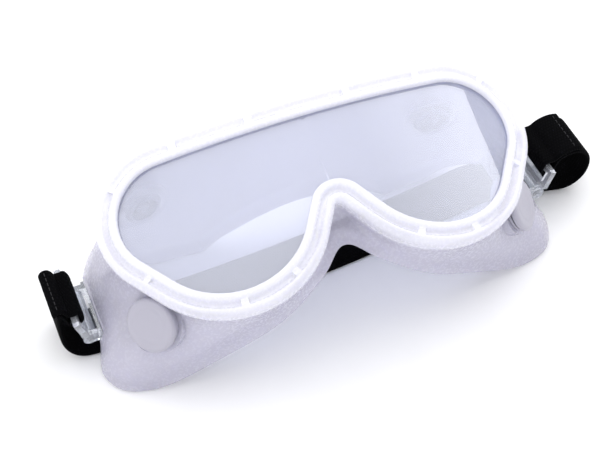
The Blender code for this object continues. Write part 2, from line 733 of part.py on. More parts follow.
def build_strap(group, material):
    """Flat run on the table, a bend at each side and the ends round the clips."""
    level = STRAP_LIFT + STRAP_THICKNESS / 2
    joint = ANCHOR_X - STRAP_JOINT_IN
    reach = joint - FIT / 2
    run = []
    for step in range(RUN_STEPS + 1):
        x = reach * (2 * step / RUN_STEPS - 1)
        run.append((x, strap_plan(x), level))
    ribbon("strap_run", run, group, material)
    for side_name, side in (("left", -1), ("right", 1)):
        place = clip_matrix(side)
        world = [place @ Vector((x, 0, z)) for x, z in loop_path()]
        ribbon("strap_end_" + side_name, world, group, material)
        heading = np.array([math.cos(CLIP_RISE), math.sin(CLIP_RISE)])
        start = np.array([side * world[-1].x, world[-1].z]) + FIT * heading
        path = bend_path(start, heading, PIVOT_X + STRAP_REACH[side_name], level, joint)
        ribbon("strap_bend_" + side_name, drifting(path, side), group, material)


# ---------------------------------------------------------------- assembly


def centre_on_origin(parts, cutters):
    """Move the whole object so that it stands centred over the origin."""
    bpy.context.view_layer.update()
    graph = bpy.context.evaluated_depsgraph_get()
    corners = []
    for item in parts.objects:
        solid = item.evaluated_get(graph)
        corners += [solid.matrix_world @ Vector(corner) for corner in solid.bound_box]
    low = [min(corner[axis] for corner in corners) for axis in range(3)]
    high = [max(corner[axis] for corner in corners) for axis in range(3)]
    shift = Matrix.Translation(Vector((-(low[0] + high[0]) / 2, -(low[1] + high[1]) / 2, -low[2])))
    for item in list(parts.objects) + list(cutters.objects):
        item.matrix_world = shift @ item.matrix_basis


def main():
    """Build every piece of the goggles."""
    clear_scene()
    parts = new_collection("safety_goggles")
    cutters = new_collection("cutters")
    finish = {name: make_material(name) for name in COLOURS}
    body = build_face_body(parts, finish["soft_vinyl"])
    build_lens(parts, finish["clear_lens"])
    pairs = []
    for row_name, (station, share) in (("cheek", CHEEK_VENT), ("brow", BROW_VENT)):
        for side_name, side in (("left", -1), ("right", 1)):
            name = "%s_vent_%s" % (row_name, side_name)
            place = vent_matrix(station, share, side)
            pairs.append(build_vent(name, place, parts, cutters, finish["vent_plastic"]))
    for side_name, side in (("left", -1), ("right", 1)):
        pairs.append(build_anchor(side_name, side, parts, cutters, finish["clip_plastic"]))
        build_clip(side_name, side, parts, cutters, finish["clip_plastic"])
    for boss, _ in pairs:
        boolean(body, boss, "UNION")
    for _, cuts in pairs:
        for cut in cuts:
            boolean(body, cut, "DIFFERENCE")
    build_strap(parts, finish["black_webbing"])
    centre_on_origin(parts, cutters)


main()
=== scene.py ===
import math

import bmesh
import bpy
import numpy as np
from bpy.props import FloatProperty, FloatVectorProperty, IntProperty, PointerProperty
from mathutils import Matrix, Vector


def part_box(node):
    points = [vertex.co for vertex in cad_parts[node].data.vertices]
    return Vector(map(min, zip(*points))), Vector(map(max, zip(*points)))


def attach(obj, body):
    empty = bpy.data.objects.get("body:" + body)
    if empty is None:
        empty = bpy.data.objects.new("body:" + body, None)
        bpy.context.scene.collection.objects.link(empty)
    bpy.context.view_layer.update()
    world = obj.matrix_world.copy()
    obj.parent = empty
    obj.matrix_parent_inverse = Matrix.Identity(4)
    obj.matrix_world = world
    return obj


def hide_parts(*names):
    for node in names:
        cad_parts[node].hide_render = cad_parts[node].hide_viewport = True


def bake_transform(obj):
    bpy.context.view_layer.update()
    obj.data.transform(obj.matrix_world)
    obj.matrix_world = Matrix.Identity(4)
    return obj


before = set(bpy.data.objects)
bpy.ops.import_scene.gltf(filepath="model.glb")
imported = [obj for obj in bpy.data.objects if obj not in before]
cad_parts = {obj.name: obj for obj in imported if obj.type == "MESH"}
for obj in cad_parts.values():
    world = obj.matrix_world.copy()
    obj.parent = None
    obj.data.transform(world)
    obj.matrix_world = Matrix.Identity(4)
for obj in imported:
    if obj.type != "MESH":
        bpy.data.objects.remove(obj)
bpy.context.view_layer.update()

bl_info = {
    "name": "Laboratory Splash Goggles",
    "version": (1, 0, 0),
    "blender": (4, 5, 0),
    "location": "View3D > Sidebar > Goggles",
    "description": "Builds the soft body, lens, vents, clips and elastic strap of splash goggles",
    "category": "Object",
}

SIDES = (("left", -1), ("right", 1))

# ---- lens opening, flattened, from its centre ----
LENS_TOP = 0.0310
CORNER_X = 0.0580
CORNER_RADIUS = 0.0210
LOBE_X = 0.0415
LOBE_Y = 0.0035
LOBE_RADIUS = 0.0305
NOSE_Y = -0.0085
NOSE_RADIUS = 0.0110
LENS_BEND = 0.300
LENS_TILT = math.radians(17.0)
LENS_HEIGHT = 0.0620
LENS_THICKNESS = 0.0020
LENS_SEAT = 0.0040
LENS_CLEARANCE = 0.0003
LENS_STRIP = 0.0025        # width of a flat strip across the bent lens

# ---- soft face body ----
RIM_WIDTH = 0.0090
RIM_CROWN = 0.0026
RIM_DEPTH = 0.0060
WALL = 0.0022
WALL_STEP = 0.0018
SEAL_WIDTH = 0.0080
SEAL_ROUND = 0.0008
WALL_ROWS = 14
WALL_EASE = 0.36           # how stiffly the wall leaves the rim and meets the seal
SEAL_LIP = 0.7             # thickness of the face flange's lip, in walls
LENS_LEDGE = 0.0012        # thickness of the ledge that the lens rests on
LEDGE_ROOT = 0.10          # where the ledge starts, in rim widths from the lens edge
RIM_UNDERCUT = 0.6         # inside of the rim's foot, in lens seats
CORNER_HOLD = 0.0003       # keeps the lens slot's corners crisp
RIM_TOP = (                # shares of the rim's width and crown, and whether in the groove
    (0.00, 0.45, False),
    (0.03, 0.85, False),
    (0.14, 1.05, False),
    (0.27, 1.02, False),
    (0.36, 0.80, False),
    (0.42, 0.30, True),
    (0.50, 0.22, True),
    (0.58, 0.30, True),
    (0.66, 0.80, False),
    (0.76, 0.98, False),
    (0.90, 0.80, False),
    (1.00, 0.20, False),
)
RIM_SIDE = (               # shares of the rim's width and depth, down its outside
    (1.01, 0.30),
    (0.97, 0.78),
    (0.86, 0.90),
)
FRAME_STEP = 0.4           # stations and wall shares between the points
FRAME_DROP = 0.03          # that give the wall's slope at a vent
TOP_STEPS = 8
CORNER_STEPS = 10
SIDE_STEPS = 3
LOBE_STEPS = 10
BRIDGE_STEPS = 2
NOSE_STEPS = 4
LAST = TOP_STEPS + CORNER_STEPS + SIDE_STEPS + LOBE_STEPS + BRIDGE_STEPS + NOSE_STEPS
SEAL_HANDLES = (
    (0, 0.0000, 0.0017, 0.0200),
    (4.2, -0.0005, 0.0040, 0.0090),
    (6.8, -0.0010, 0.0060, -0.0050),
    (9.6, 0.0030, 0.0062, 0.0045),
    (12.2, 0.0098, 0.0075, 0.0055),
    (14.5, 0.0067, 0.0047, 0.0055),
    (17.4, 0.0112, 0.0057, 0.0045),
    (19.6, 0.0203, 0.0046, -0.0015),
    (21.2, 0.0193, 0.0015, -0.0015),
    (23, 0.0143, 0.0065, 0.0010),
    (25, 0.0094, 0.0103, 0.0090),
    (27.5, 0.0031, 0.0064, 0.0240),
    (31, 0.0049, -0.0042, 0.0360),
    (37, 0.0000, -0.0068, 0.0420),
)
LUG_STATIONS = (2.75, 6.9, 11.6, 19.2, 25.2, 28.4)
LUG_HALF = 0.20            # half a lug's length, in stations
LUG_EDGE = 0.05
RIM_FADE = 0.0030          # height over which the rim's painted lighter colour fades into the wall

# ---- vents ----
CHEEK_VENT = (20.7, 0.31)
BROW_VENT = (9.2, 0.45)
VENT_HOLE = 0.0070
VENT_GAP = 0.0003
BOSS_OUT = 0.0010
BOSS_IN = 0.0046
FACING = 0.0004
SEAT_FLANGE = VENT_HOLE + 0.0028
SEAT_FLANGE_THICKNESS = 0.0010
BOSS_RADIUS = SEAT_FLANGE + 0.0017
CAP_RADIUS = SEAT_FLANGE + 0.0006
CAP_THICKNESS = 0.0016
CAP_LIFT = 0.0016
CAP_SKIRT = 0.0010
STEM_RADIUS = 0.0014
STEM_HEAD = 0.0020
STEM_TIP = 0.0012
CUT_THROUGH = 0.0100       # how far a cutter runs past what it cuts
BOSS_STEPS = 64
FIT = 0.0003
FINE_BUMP = 0.0001         # depth of a material's fine relief

# ---- strap anchors, clips and strap ----
ANCHOR_HEIGHT = 0.0108
ANCHOR_WIDTH = 0.0250
ANCHOR_TALL = 0.0076
ANCHOR_PLATE = 0.0012
ANCHOR_BOSS_IN = 0.0056
ANCHOR_BOSS_MARGIN = 0.0012
STUD_WIDTH = 0.0100
STUD_TALL = 0.0036
EAR_RADIUS = 0.0027
PIVOT_OUT = 0.0036
CLIP_THICKNESS = 0.0024
CLIP_LENGTH = 0.0138
CLIP_BAR = 0.0026
CLIP_RISE = math.radians(72.0)
STRAP_WIDTH = 0.0220
STRAP_THICKNESS = 0.0016
STRAP_LIFT = 0.0001
STRAP_JOINT_IN = 0.0150
STRAP_REACH = {"left": 0.0102, "right": 0.0248}
STRAP_RISE = 0.0050
STRAP_FOOT = 0.0100
STRAP_GAP = 0.0004
STRAP_BROW_EDGE = 0.0116
STRAP_SLANT = 0.080
STRAP_BOW = 0.50
BEND_HEIGHT = 0.55          # height of a bend's widest place, as a share of the clip's
BEND_DROP = 0.75            # how full the bend is above its widest place
BEND_CURL = 0.55            # and below it
FOOT_EASE = 0.6             # how gently it meets the table, in feet
STRAP_LAP = 0.0030          # strap end past the middle of the clip bar
TAIL_POINTS = 12
TURN_OVER = 8               # points of the bend before it can face down
TAIL_GAP = 0.00012          # air between the lapped tail and the bend
TAIL_RISE = 0.0052          # how stiffly the tail leaves the clip bar
TAIL_REST = (0.0040, 0.0014)    # and comes down on the bend, out and down
WEAVE_STEP = 0.00045
RUN_STEP = 0.0006
THREAD_RADIUS = 0.00016
STITCH = 0.0016
STITCH_PITCH = 1.5          # in stitches
STITCH_MARGIN = 0.0015
STITCH_LIFT = 0.00035
STITCH_SINK = 0.0002
SEAM_ROWS = (6, 12)
DRIFT_START = 0.40          # share of a side's webbing before it leaves its clip's line


# ---------------------------------------------------------------- settings


class GogglesBodySettings(bpy.types.PropertyGroup):
    """Sizes and colour of the soft face body."""

    vinyl: FloatVectorProperty(
        name="Vinyl", description="Colour of the soft vinyl", subtype="COLOR", size=3,
        min=0.0, max=1.0, default=(0.59, 0.575, 0.68))
    # painted light: the rim colour is a paler copy of the same vinyl, standing in for light
    # scattered in the thick rim and its glossy highlights
    rim: FloatVectorProperty(
        name="Rim", description="Colour of the thick vinyl round the lens", subtype="COLOR",
        size=3, min=0.0, max=1.0, default=(0.87, 0.865, 0.95))
    clearness: FloatProperty(
        name="Clearness", description="Share of light that passes straight through one wall",
        subtype="FACTOR", min=0.0, max=1.0, default=0.36)
    lug_rise: FloatProperty(
        name="Lug Rise", description="Height of the lens-retaining lugs in the rim's groove",
        unit="LENGTH", default=0.0013)


class GogglesLensSettings(bpy.types.PropertyGroup):
    """Finish of the one-piece lens."""

    tint: FloatVectorProperty(
        name="Tint", description="Colour of light through the lens", subtype="COLOR", size=3,
        min=0.0, max=1.0, default=(0.64, 0.665, 0.79))
    index: FloatProperty(
        name="Index", description="Index of the lens with its hard coat", default=1.85)
    edge_trim: FloatProperty(
        name="Edge Trim", description="How far the pane stops short of its seat",
        unit="LENGTH", default=0.0003)


class GogglesVentSettings(bpy.types.PropertyGroup):
    """Finish of the vent caps and seats."""

    plastic: FloatVectorProperty(
        name="Plastic", description="Colour of the vents", subtype="COLOR", size=3,
        min=0.0, max=1.0, default=(0.40, 0.39, 0.455))
    dish: FloatProperty(
        name="Dish", description="How deep the cap's face is dished", unit="LENGTH",
        default=0.0004)
    steps: IntProperty(name="Steps", description="Facets round a cap", default=96)


class GogglesClipSettings(bpy.types.PropertyGroup):
    """Finish of the clips and anchors."""

    plastic: FloatVectorProperty(
        name="Plastic", description="Colour of the clear clips", subtype="COLOR", size=3,
        min=0.0, max=1.0, default=(0.88, 0.90, 0.94))
    edge: FloatProperty(
        name="Edge", description="Width of the clips' rounded edges", unit="LENGTH",
        default=0.00028)


class GogglesStrapSettings(bpy.types.PropertyGroup):
    """Weave of the elastic strap."""

    webbing: FloatVectorProperty(
        name="Webbing", description="Colour of the elastic", subtype="COLOR", size=3,
        min=0.0, max=1.0, default=(0.0014, 0.0014, 0.0018))
    thread: FloatVectorProperty(
        name="Thread", description="Colour of the sewing thread", subtype="COLOR", size=3,
        min=0.0, max=1.0, default=(0.010, 0.010, 0.012))
    ribs: IntProperty(name="Ribs", description="Woven ribs across the strap", default=15)
    rib_rise: FloatProperty(
        name="Rib Rise", description="Height of a woven rib", unit="LENGTH", default=0.00011)
    pick: FloatProperty(
        name="Pick", description="Length of one woven pick", unit="LENGTH", default=0.0011)


class GogglesStageSettings(bpy.types.PropertyGroup):
    """Camera and light."""

    azimuth: FloatProperty(
        name="Azimuth", description="Camera's turn from the front", subtype="ANGLE",
        default=math.radians(22.4))
    elevation: FloatProperty(
        name="Elevation", description="Camera's height angle", subtype="ANGLE",
        default=math.radians(50.0))
    distance: FloatProperty(
        name="Distance", description="Camera to the lens", unit="LENGTH", default=0.480)
    focal: FloatProperty(name="Focal Length", description="Lens in millimetres", default=78.0)
    key: FloatProperty(
        name="Key", description="Power of the overhead soft light in watts", default=7.6)
    sky: FloatProperty(name="Sky", description="Strength of the surrounding light", default=1.25)
    ceiling: FloatProperty(
        name="Ceiling", description="Strength of the dim ceiling around the softbox", default=0.12)


# ---------------------------------------------------------------- shared shape


def outline_pieces():
    """Arcs and lines of half the lens opening: (steps, kind, values)."""
    corner = np.array([CORNER_X, LENS_TOP - CORNER_RADIUS])
    lobe = np.array([LOBE_X, LOBE_Y])
    nose = np.array([0.0, NOSE_Y])
    span = lobe - corner
    side_angle = (math.atan2(span[1], span[0])
                  + math.acos((CORNER_RADIUS - LOBE_RADIUS) / np.linalg.norm(span)))
    span = nose - lobe
    bridge_angle = (math.atan2(span[1], span[0])
                    + math.acos((LOBE_RADIUS + NOSE_RADIUS) / np.linalg.norm(span)))
    side = np.array([math.cos(side_angle), math.sin(side_angle)])
    bridge = np.array([math.cos(bridge_angle), math.sin(bridge_angle)])
    up = np.array([0.0, 1.0])
    return (
        (TOP_STEPS, "line", (LENS_TOP * up, np.array([CORNER_X, LENS_TOP]), up)),
        (CORNER_STEPS, "arc", (corner, CORNER_RADIUS, math.pi / 2, side_angle, 1.0)),
        (SIDE_STEPS, "line", (corner + CORNER_RADIUS * side, lobe + LOBE_RADIUS * side, side)),
        (LOBE_STEPS, "arc", (lobe, LOBE_RADIUS, side_angle, bridge_angle, 1.0)),
        (BRIDGE_STEPS, "line", (lobe + LOBE_RADIUS * bridge, nose - NOSE_RADIUS * bridge, bridge)),
        (NOSE_STEPS, "arc", (nose, NOSE_RADIUS, bridge_angle + math.pi, math.pi / 2, -1.0)),
    )


OUTLINE = outline_pieces()


def outline_at(station):
    """Point and outward normal of the lens opening at any station."""
    rest = station
    for steps, kind, values in OUTLINE:
        if rest <= steps or kind == "arc" and values[-1] < 0:
            share = rest / steps
            if kind == "line":
                start, end, normal = values
                return start + (end - start) * share, normal
            centre, radius, first, last, outward = values
            angle = first + (last - first) * share
            normal = np.array([math.cos(angle), math.sin(angle)])
            return centre + radius * normal, outward * normal
        rest -= steps
    raise ValueError("station past the outline")


def bent(u, v, w):
    """Place of a flattened lens position u, v at height w."""
    angle = u / LENS_BEND
    x = (LENS_BEND + w) * math.sin(angle)
    rise = (LENS_BEND + w) * math.cos(angle) - LENS_BEND
    y = v * math.cos(LENS_TILT) - rise * math.sin(LENS_TILT)
    z = v * math.sin(LENS_TILT) + rise * math.cos(LENS_TILT) + LENS_HEIGHT
    return np.array([x, y, z])


def rim_point(station, offset, w):
    """Place beside the rim at a station, offset out from the lens edge."""
    point, normal = outline_at(station)
    u, v = point + offset * normal
    return bent(u, v, w)


def lens_edge_points(offset):
    """Flattened outline of the lens, offset out from the opening, all the way round."""
    stations = np.linspace(0.0, LAST, 8 * LAST + 1)
    right = []
    for station in stations:
        point, normal = outline_at(station)
        right.append(point + offset * normal)
    left = [point * np.array([-1.0, 1.0]) for point in right[-2:0:-1]]
    return right + left


def frame_shift():
    """How far the row frame's origin lies from the lens' own centre line."""
    low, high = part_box("lens")
    lowest = min(bent(u, v, w)[1] for u, v in lens_edge_points(LENS_SEAT)
                 for w in (0.0, -LENS_THICKNESS))
    return np.array([(low[0] + high[0]) / 2, low[1] - lowest, 0.0])


SHIFT = frame_shift()


def seal_handles():
    """Seal handles in place, with one more beyond each end, mirrored across the middle."""
    rows = []
    for station, out_x, out_y, height in SEAL_HANDLES:
        rim = rim_point(station, RIM_WIDTH, 0.0)
        rows.append(np.array([station, rim[0] + out_x, rim[1] + out_y, height]))
    before = rows[1] * np.array([-1, -1, 1, 1])
    after = rows[-2] * np.array([1, -1, 1, 1])
    after[0] = 2 * LAST - rows[-2][0]
    return [before] + rows + [after]


HANDLES = seal_handles()


def seal_point(station):
    """Outer bottom edge of the face seal, a smooth curve through its handles."""
    index = 1
    while index < len(HANDLES) - 3 and station > HANDLES[index + 1][0]:
        index += 1
    before, start, end, after = HANDLES[index - 1:index + 3]
    length = end[0] - start[0]
    t = (station - start[0]) / length
    slope_start = (end - before)[1:] / (end - before)[0] * length
    slope_end = (after - start)[1:] / (after - start)[0] * length
    value = ((2 * t**3 - 3 * t**2 + 1) * start[1:] + (t**3 - 2 * t**2 + t) * slope_start
             + (3 * t**2 - 2 * t**3) * end[1:] + (t**3 - t**2) * slope_end)
    value[2] = max(value[2], 0.0)
    return value


def seal_inward(station):
    """Horizontal direction from the seal's outer edge into the mask."""
    step = 0.25
    along = seal_point(min(station + step, LAST)) - seal_point(max(station - step, 0.0))
    if station <= 0.0 or station >= LAST:
        along[1] = 0.0
    inward = np.array([along[1], -along[0], 0.0])
    return inward / np.linalg.norm(inward)


def wall_point(station, share, inset):
    """Place on the wall, from under the rim (0) down to the seal (1)."""
    top_offset = RIM_WIDTH - WALL_STEP - inset
    top = rim_point(station, top_offset, -RIM_DEPTH)
    below = rim_point(station, top_offset, -RIM_DEPTH - WALL)
    down = (below - top) / np.linalg.norm(below - top)
    bottom = seal_point(station) + seal_inward(station) * inset
    bottom[2] += SEAL_ROUND if inset == 0.0 else WALL
    reach = WALL_EASE * np.linalg.norm(bottom - top)
    first = top + down * reach
    second = bottom + np.array([0.0, 0.0, reach])
    t = share
    return ((1 - t)**3 * top + 3 * (1 - t)**2 * t * first
            + 3 * (1 - t) * t**2 * second + t**3 * bottom)


def wall_frame(station, share):
    """Place on the wall's outside and its outward normal."""
    here = wall_point(station, share, 0.0)
    along = (wall_point(station + FRAME_STEP, share, 0.0)
             - wall_point(station - FRAME_STEP, share, 0.0))
    down = (wall_point(station, share + FRAME_DROP, 0.0)
            - wall_point(station, share - FRAME_DROP, 0.0))
    normal = np.cross(along, down)
    normal /= np.linalg.norm(normal)
    if normal @ np.array([here[0], here[1] - LOBE_Y, 0.0]) < 0:
        normal = -normal
    return here, normal


# ---------------------------------------------------------------- mesh helpers


def link_mesh(name, bm, material, sharp=math.radians(38)):
    """Turn a bmesh into a smooth-shaded piece in the scene."""
    mesh = bpy.data.meshes.new(name)
    bmesh.ops.recalc_face_normals(bm, faces=bm.faces)
    bm.to_mesh(mesh)
    bm.free()
    mesh.shade_smooth()
    mesh.set_sharp_from_angle(angle=sharp)
    mesh.materials.append(material)
    piece = bpy.data.objects.new(name, mesh)
    bpy.context.scene.collection.objects.link(piece)
    return piece


def bake_modifiers(piece, sharp=math.radians(38)):
    """Give a piece its evaluated mesh in place of its modifiers."""
    graph = bpy.context.evaluated_depsgraph_get()
    mesh = bpy.data.meshes.new_from_object(piece.evaluated_get(graph), depsgraph=graph)
    piece.modifiers.clear()
    piece.data = mesh
    mesh.shade_smooth()
    mesh.set_sharp_from_angle(angle=sharp)
    return piece


def turned(name, profile, steps, material):
    """Spin a profile of (radius, height) pairs, listed from the axis and back."""
    mesh = bpy.data.meshes.new(name)
    vertices = [(radius, 0.0, height) for radius, height in profile]
    edges = [(index, index + 1) for index in range(len(profile) - 1)]
    mesh.from_pydata(vertices, edges, [])
    piece = bpy.data.objects.new(name, mesh)
    bpy.context.scene.collection.objects.link(piece)
    screw = piece.modifiers.new("turn", "SCREW")
    screw.steps = steps
    screw.render_steps = steps
    screw.use_merge_vertices = True
    screw.merge_threshold = 0.00001
    if material is not None:
        mesh.materials.append(material)
    return piece


def block(name, size, centre):
    """A box used to cut or join, at its place in the row frame."""
    bm = bmesh.new()
    bmesh.ops.create_cube(bm, size=1.0)
    bmesh.ops.scale(bm, vec=size, verts=bm.verts)
    bmesh.ops.translate(bm, vec=Vector(centre) + Vector(SHIFT), verts=bm.verts)
    mesh = bpy.data.meshes.new(name)
    bm.to_mesh(mesh)
    bm.free()
    item = bpy.data.objects.new(name, mesh)
    bpy.context.scene.collection.objects.link(item)
    return item


def boolean(piece, other, operation):
    """Join or cut a piece with a helper."""
    modifier = piece.modifiers.new(operation.lower(), "BOOLEAN")
    modifier.operation = operation
    modifier.object = other


def smoothed(profile, rounds):
    """Round a closed profile's corners by cutting each one twice over."""
    points = np.array(profile)
    for _ in range(rounds):
        following = np.roll(points, -1, axis=0)
        cut = np.empty((2 * len(points), points.shape[1]))
        cut[0::2] = 0.75 * points + 0.25 * following
        cut[1::2] = 0.25 * points + 0.75 * following
        points = cut
    return points


# ---------------------------------------------------------------- materials


def new_group(name, inputs, outputs):
    """An empty shader node group with named sockets, and its two ends."""
    group = bpy.data.node_groups.new(name, "ShaderNodeTree")
    for label, kind, value in inputs:
        socket = group.interface.new_socket(name=label, in_out="INPUT", socket_type=kind)
        if value is not None:
            socket.default_value = value
    for label, kind in outputs:
        group.interface.new_socket(name=label, in_out="OUTPUT", socket_type=kind)
    start = group.nodes.new("NodeGroupInput")
    end = group.nodes.new("NodeGroupOutput")
    return group, start, end


def maths(tree, operation, first, second, clamp=False):
    """A Math node whose inputs are sockets or plain numbers."""
    node = tree.nodes.new("ShaderNodeMath")
    node.operation = operation
    node.use_clamp = clamp
    for socket, value in zip(node.inputs, (first, second)):
        if isinstance(value, bpy.types.NodeSocket):
            tree.links.new(value, socket)
        elif value is not None:
            socket.default_value = value
    return node.outputs[0]


def blended(tree, factor, first, second):
    """A colour mix whose inputs are sockets or plain colours."""
    node = tree.nodes.new("ShaderNodeMix")
    node.data_type = "RGBA"
    for socket, value in ((node.inputs[0], factor), (node.inputs[6], first),
                          (node.inputs[7], second)):
        if isinstance(value, bpy.types.NodeSocket):
            tree.links.new(value, socket)
        else:
            socket.default_value = value
    return node.outputs[2]


def noise(tree, vector, scale, detail=3.0, roughness=0.55):
    """A noise texture's factor."""
    node = tree.nodes.new("ShaderNodeTexNoise")
    node.inputs["Scale"].default_value = scale
    node.inputs["Detail"].default_value = detail
    node.inputs["Roughness"].default_value = roughness
    tree.links.new(vector, node.inputs["Vector"])
    return node.outputs["Fac"]


def ranged(tree, value, low, high, to_low, to_high):
    """Map a value from one range into another."""
    node = tree.nodes.new("ShaderNodeMapRange")
    tree.links.new(value, node.inputs["Value"])
    node.inputs["From Min"].default_value = low
    node.inputs["From Max"].default_value = high
    for label, end in (("To Min", to_low), ("To Max", to_high)):
        if isinstance(end, bpy.types.NodeSocket):
            tree.links.new(end, node.inputs[label])
        else:
            node.inputs[label].default_value = end
    return node.outputs["Result"]


def moulded_surface_group():
    """Moulded plastic: soft mottling and fine grain."""
    group, start, end = new_group(
        "Moulded Surface",
        (("Colour", "NodeSocketColor", None), ("Shade", "NodeSocketColor", None),
         ("Mottle", "NodeSocketFloat", 0.3), ("Roughness Low", "NodeSocketFloat", 0.2),
         ("Roughness High", "NodeSocketFloat", 0.3)),
        (("Colour", "NodeSocketColor"), ("Roughness", "NodeSocketFloat"),
         ("Height", "NodeSocketFloat")))
    place = group.nodes.new("ShaderNodeTexCoord").outputs["Object"]
    broad = noise(group, place, 28.0, 2.0)
    fine = noise(group, place, 900.0, 2.0)
    grain = noise(group, place, 3600.0, 1.0)
    share = maths(group, "MULTIPLY", ranged(group, broad, 0.35, 0.68, 0.0, 1.0),
                  start.outputs["Mottle"])
    colour = blended(group, share, start.outputs["Colour"], start.outputs["Shade"])
    group.links.new(colour, end.inputs["Colour"])
    group.links.new(ranged(group, fine, 0.3, 0.7, start.outputs["Roughness Low"],
                           start.outputs["Roughness High"]), end.inputs["Roughness"])
    height = maths(group, "ADD", maths(group, "MULTIPLY", fine, 0.7),
                   maths(group, "MULTIPLY", grain, 0.3))
    group.links.new(height, end.inputs["Height"])
    return group


def handling_wear_group():
    """Hairline scratches and fingertip haze on clear, glossy plastic."""
    group, start, end = new_group(
        "Handling Wear",
        (("Base Roughness", "NodeSocketFloat", 0.03), ("Haze", "NodeSocketFloat", 0.05),
         ("Scratch", "NodeSocketFloat", 0.1)),
        (("Roughness", "NodeSocketFloat"), ("Height", "NodeSocketFloat")))
    place = group.nodes.new("ShaderNodeTexCoord").outputs["Object"]
    haze = ranged(group, noise(group, place, 45.0, 4.0), 0.45, 0.72, 0.0, 1.0)
    turn = group.nodes.new("ShaderNodeMapping")
    turn.inputs["Rotation"].default_value = (0.3, 0.2, 0.7)
    turn.inputs["Scale"].default_value = (1.0, 26.0, 26.0)
    group.links.new(place, turn.inputs["Vector"])
    lines = ranged(group, noise(group, turn.outputs["Vector"], 60.0, 2.0), 0.70, 0.74, 0.0, 1.0)
    scratch = maths(group, "MULTIPLY", lines, start.outputs["Scratch"])
    soft = maths(group, "MULTIPLY", haze, start.outputs["Haze"])
    total = maths(group, "ADD", maths(group, "ADD", start.outputs["Base Roughness"], soft),
                  scratch, clamp=True)
    group.links.new(total, end.inputs["Roughness"])
    group.links.new(maths(group, "SUBTRACT", 1.0, scratch), end.inputs["Height"])
    return group


def elastic_weave_group():
    """Braided elastic: ribs along the strap crossed by slanted picks."""
    group, start, end = new_group(
        "Elastic Weave",
        (("Colour", "NodeSocketColor", None), ("Lint", "NodeSocketColor", None),
         ("Ribs", "NodeSocketFloat", 700.0), ("Picks", "NodeSocketFloat", 900.0)),
        (("Colour", "NodeSocketColor"), ("Roughness", "NodeSocketFloat"),
         ("Height", "NodeSocketFloat")))
    flat = group.nodes.new("ShaderNodeUVMap")
    flat.uv_map = "weave"
    split = group.nodes.new("ShaderNodeSeparateXYZ")
    group.links.new(flat.outputs["UV"], split.inputs["Vector"])
    across = maths(group, "MULTIPLY", split.outputs["X"], start.outputs["Ribs"])
    along = maths(group, "MULTIPLY", split.outputs["Y"], start.outputs["Picks"])
    rib = maths(group, "ABSOLUTE", maths(group, "SINE", across, None), None)
    row = maths(group, "FLOOR", maths(group, "DIVIDE", across, math.pi), None)
    slant = maths(group, "MULTIPLY", maths(group, "PINGPONG", row, 1.0), math.pi)
    lean = maths(group, "MULTIPLY", maths(group, "FRACT", maths(
        group, "DIVIDE", across, math.pi), None), 1.6)
    pick = maths(group, "SINE", maths(group, "ADD", maths(group, "ADD", along, slant), lean), None)
    pick = ranged(group, pick, -1.0, 1.0, 0.25, 1.0)
    height = maths(group, "MULTIPLY", rib, pick)
    group.links.new(height, end.inputs["Height"])
    place = group.nodes.new("ShaderNodeTexCoord").outputs["Object"]
    lint = ranged(group, noise(group, place, 1500.0, 2.0), 0.60, 0.78, 0.0, 0.5)
    share = maths(group, "ADD", maths(group, "MULTIPLY", height, 0.35), lint, clamp=True)
    group.links.new(blended(group, share, start.outputs["Colour"], start.outputs["Lint"]),
                    end.inputs["Colour"])
    group.links.new(ranged(group, height, 0.0, 1.0, 0.95, 0.62), end.inputs["Roughness"])
    return group


GROUPS = {}


def shared_group(name):
    """Build each shared effect once."""
    makers = {"Moulded Surface": moulded_surface_group, "Handling Wear": handling_wear_group,
              "Elastic Weave": elastic_weave_group}
    if name not in GROUPS:
        GROUPS[name] = makers[name]()
    return GROUPS[name]


def new_material(name):
    """A fresh node material and its Principled shader."""
    material = bpy.data.materials.new(name)
    material.use_nodes = True
    return material, material.node_tree, material.node_tree.nodes["Principled BSDF"]


def add_bump(tree, shader, height, strength, distance):
    """Feed a height into the shader's normal."""
    bump = tree.nodes.new("ShaderNodeBump")
    bump.inputs["Strength"].default_value = strength
    bump.inputs["Distance"].default_value = distance
    tree.links.new(height, bump.inputs["Height"])
    tree.links.new(bump.outputs["Normal"], shader.inputs["Normal"])


def rgba(colour, scale=1.0):
    """A colour with full alpha, lightened or darkened."""
    return tuple(min(1.0, channel * scale) for channel in colour) + (1.0,)


def let_lamps_through(tree, shader, tint):
    """Let light from lamps pass a clear piece, so that what it covers stays lit."""
    path = tree.nodes.new("ShaderNodeLightPath")
    clear = tree.nodes.new("ShaderNodeBsdfTransparent")
    clear.inputs["Color"].default_value = rgba(tint)
    mix = tree.nodes.new("ShaderNodeMixShader")
    tree.links.new(path.outputs["Is Shadow Ray"], mix.inputs["Fac"])
    tree.links.new(shader.outputs["BSDF"], mix.inputs[1])
    tree.links.new(clear.outputs["BSDF"], mix.inputs[2])
    tree.links.new(mix.outputs["Shader"], tree.nodes["Material Output"].inputs["Surface"])


def finished_material(name, effect, values, sockets, bump):
    """A material with a shared effect's colour, roughness and bump, and its own sockets."""
    material, tree, shader = new_material(name)
    node = tree.nodes.new("ShaderNodeGroup")
    node.node_tree = shared_group(effect)
    for label, value in values.items():
        node.inputs[label].default_value = value
    for label, value in sockets.items():
        shader.inputs[label].default_value = value
    if "Colour" in node.outputs:
        tree.links.new(node.outputs["Colour"], shader.inputs["Base Color"])
    tree.links.new(node.outputs["Roughness"], shader.inputs["Roughness"])
    add_bump(tree, shader, node.outputs["Height"], bump, FINE_BUMP)
    return material, tree, shader, node


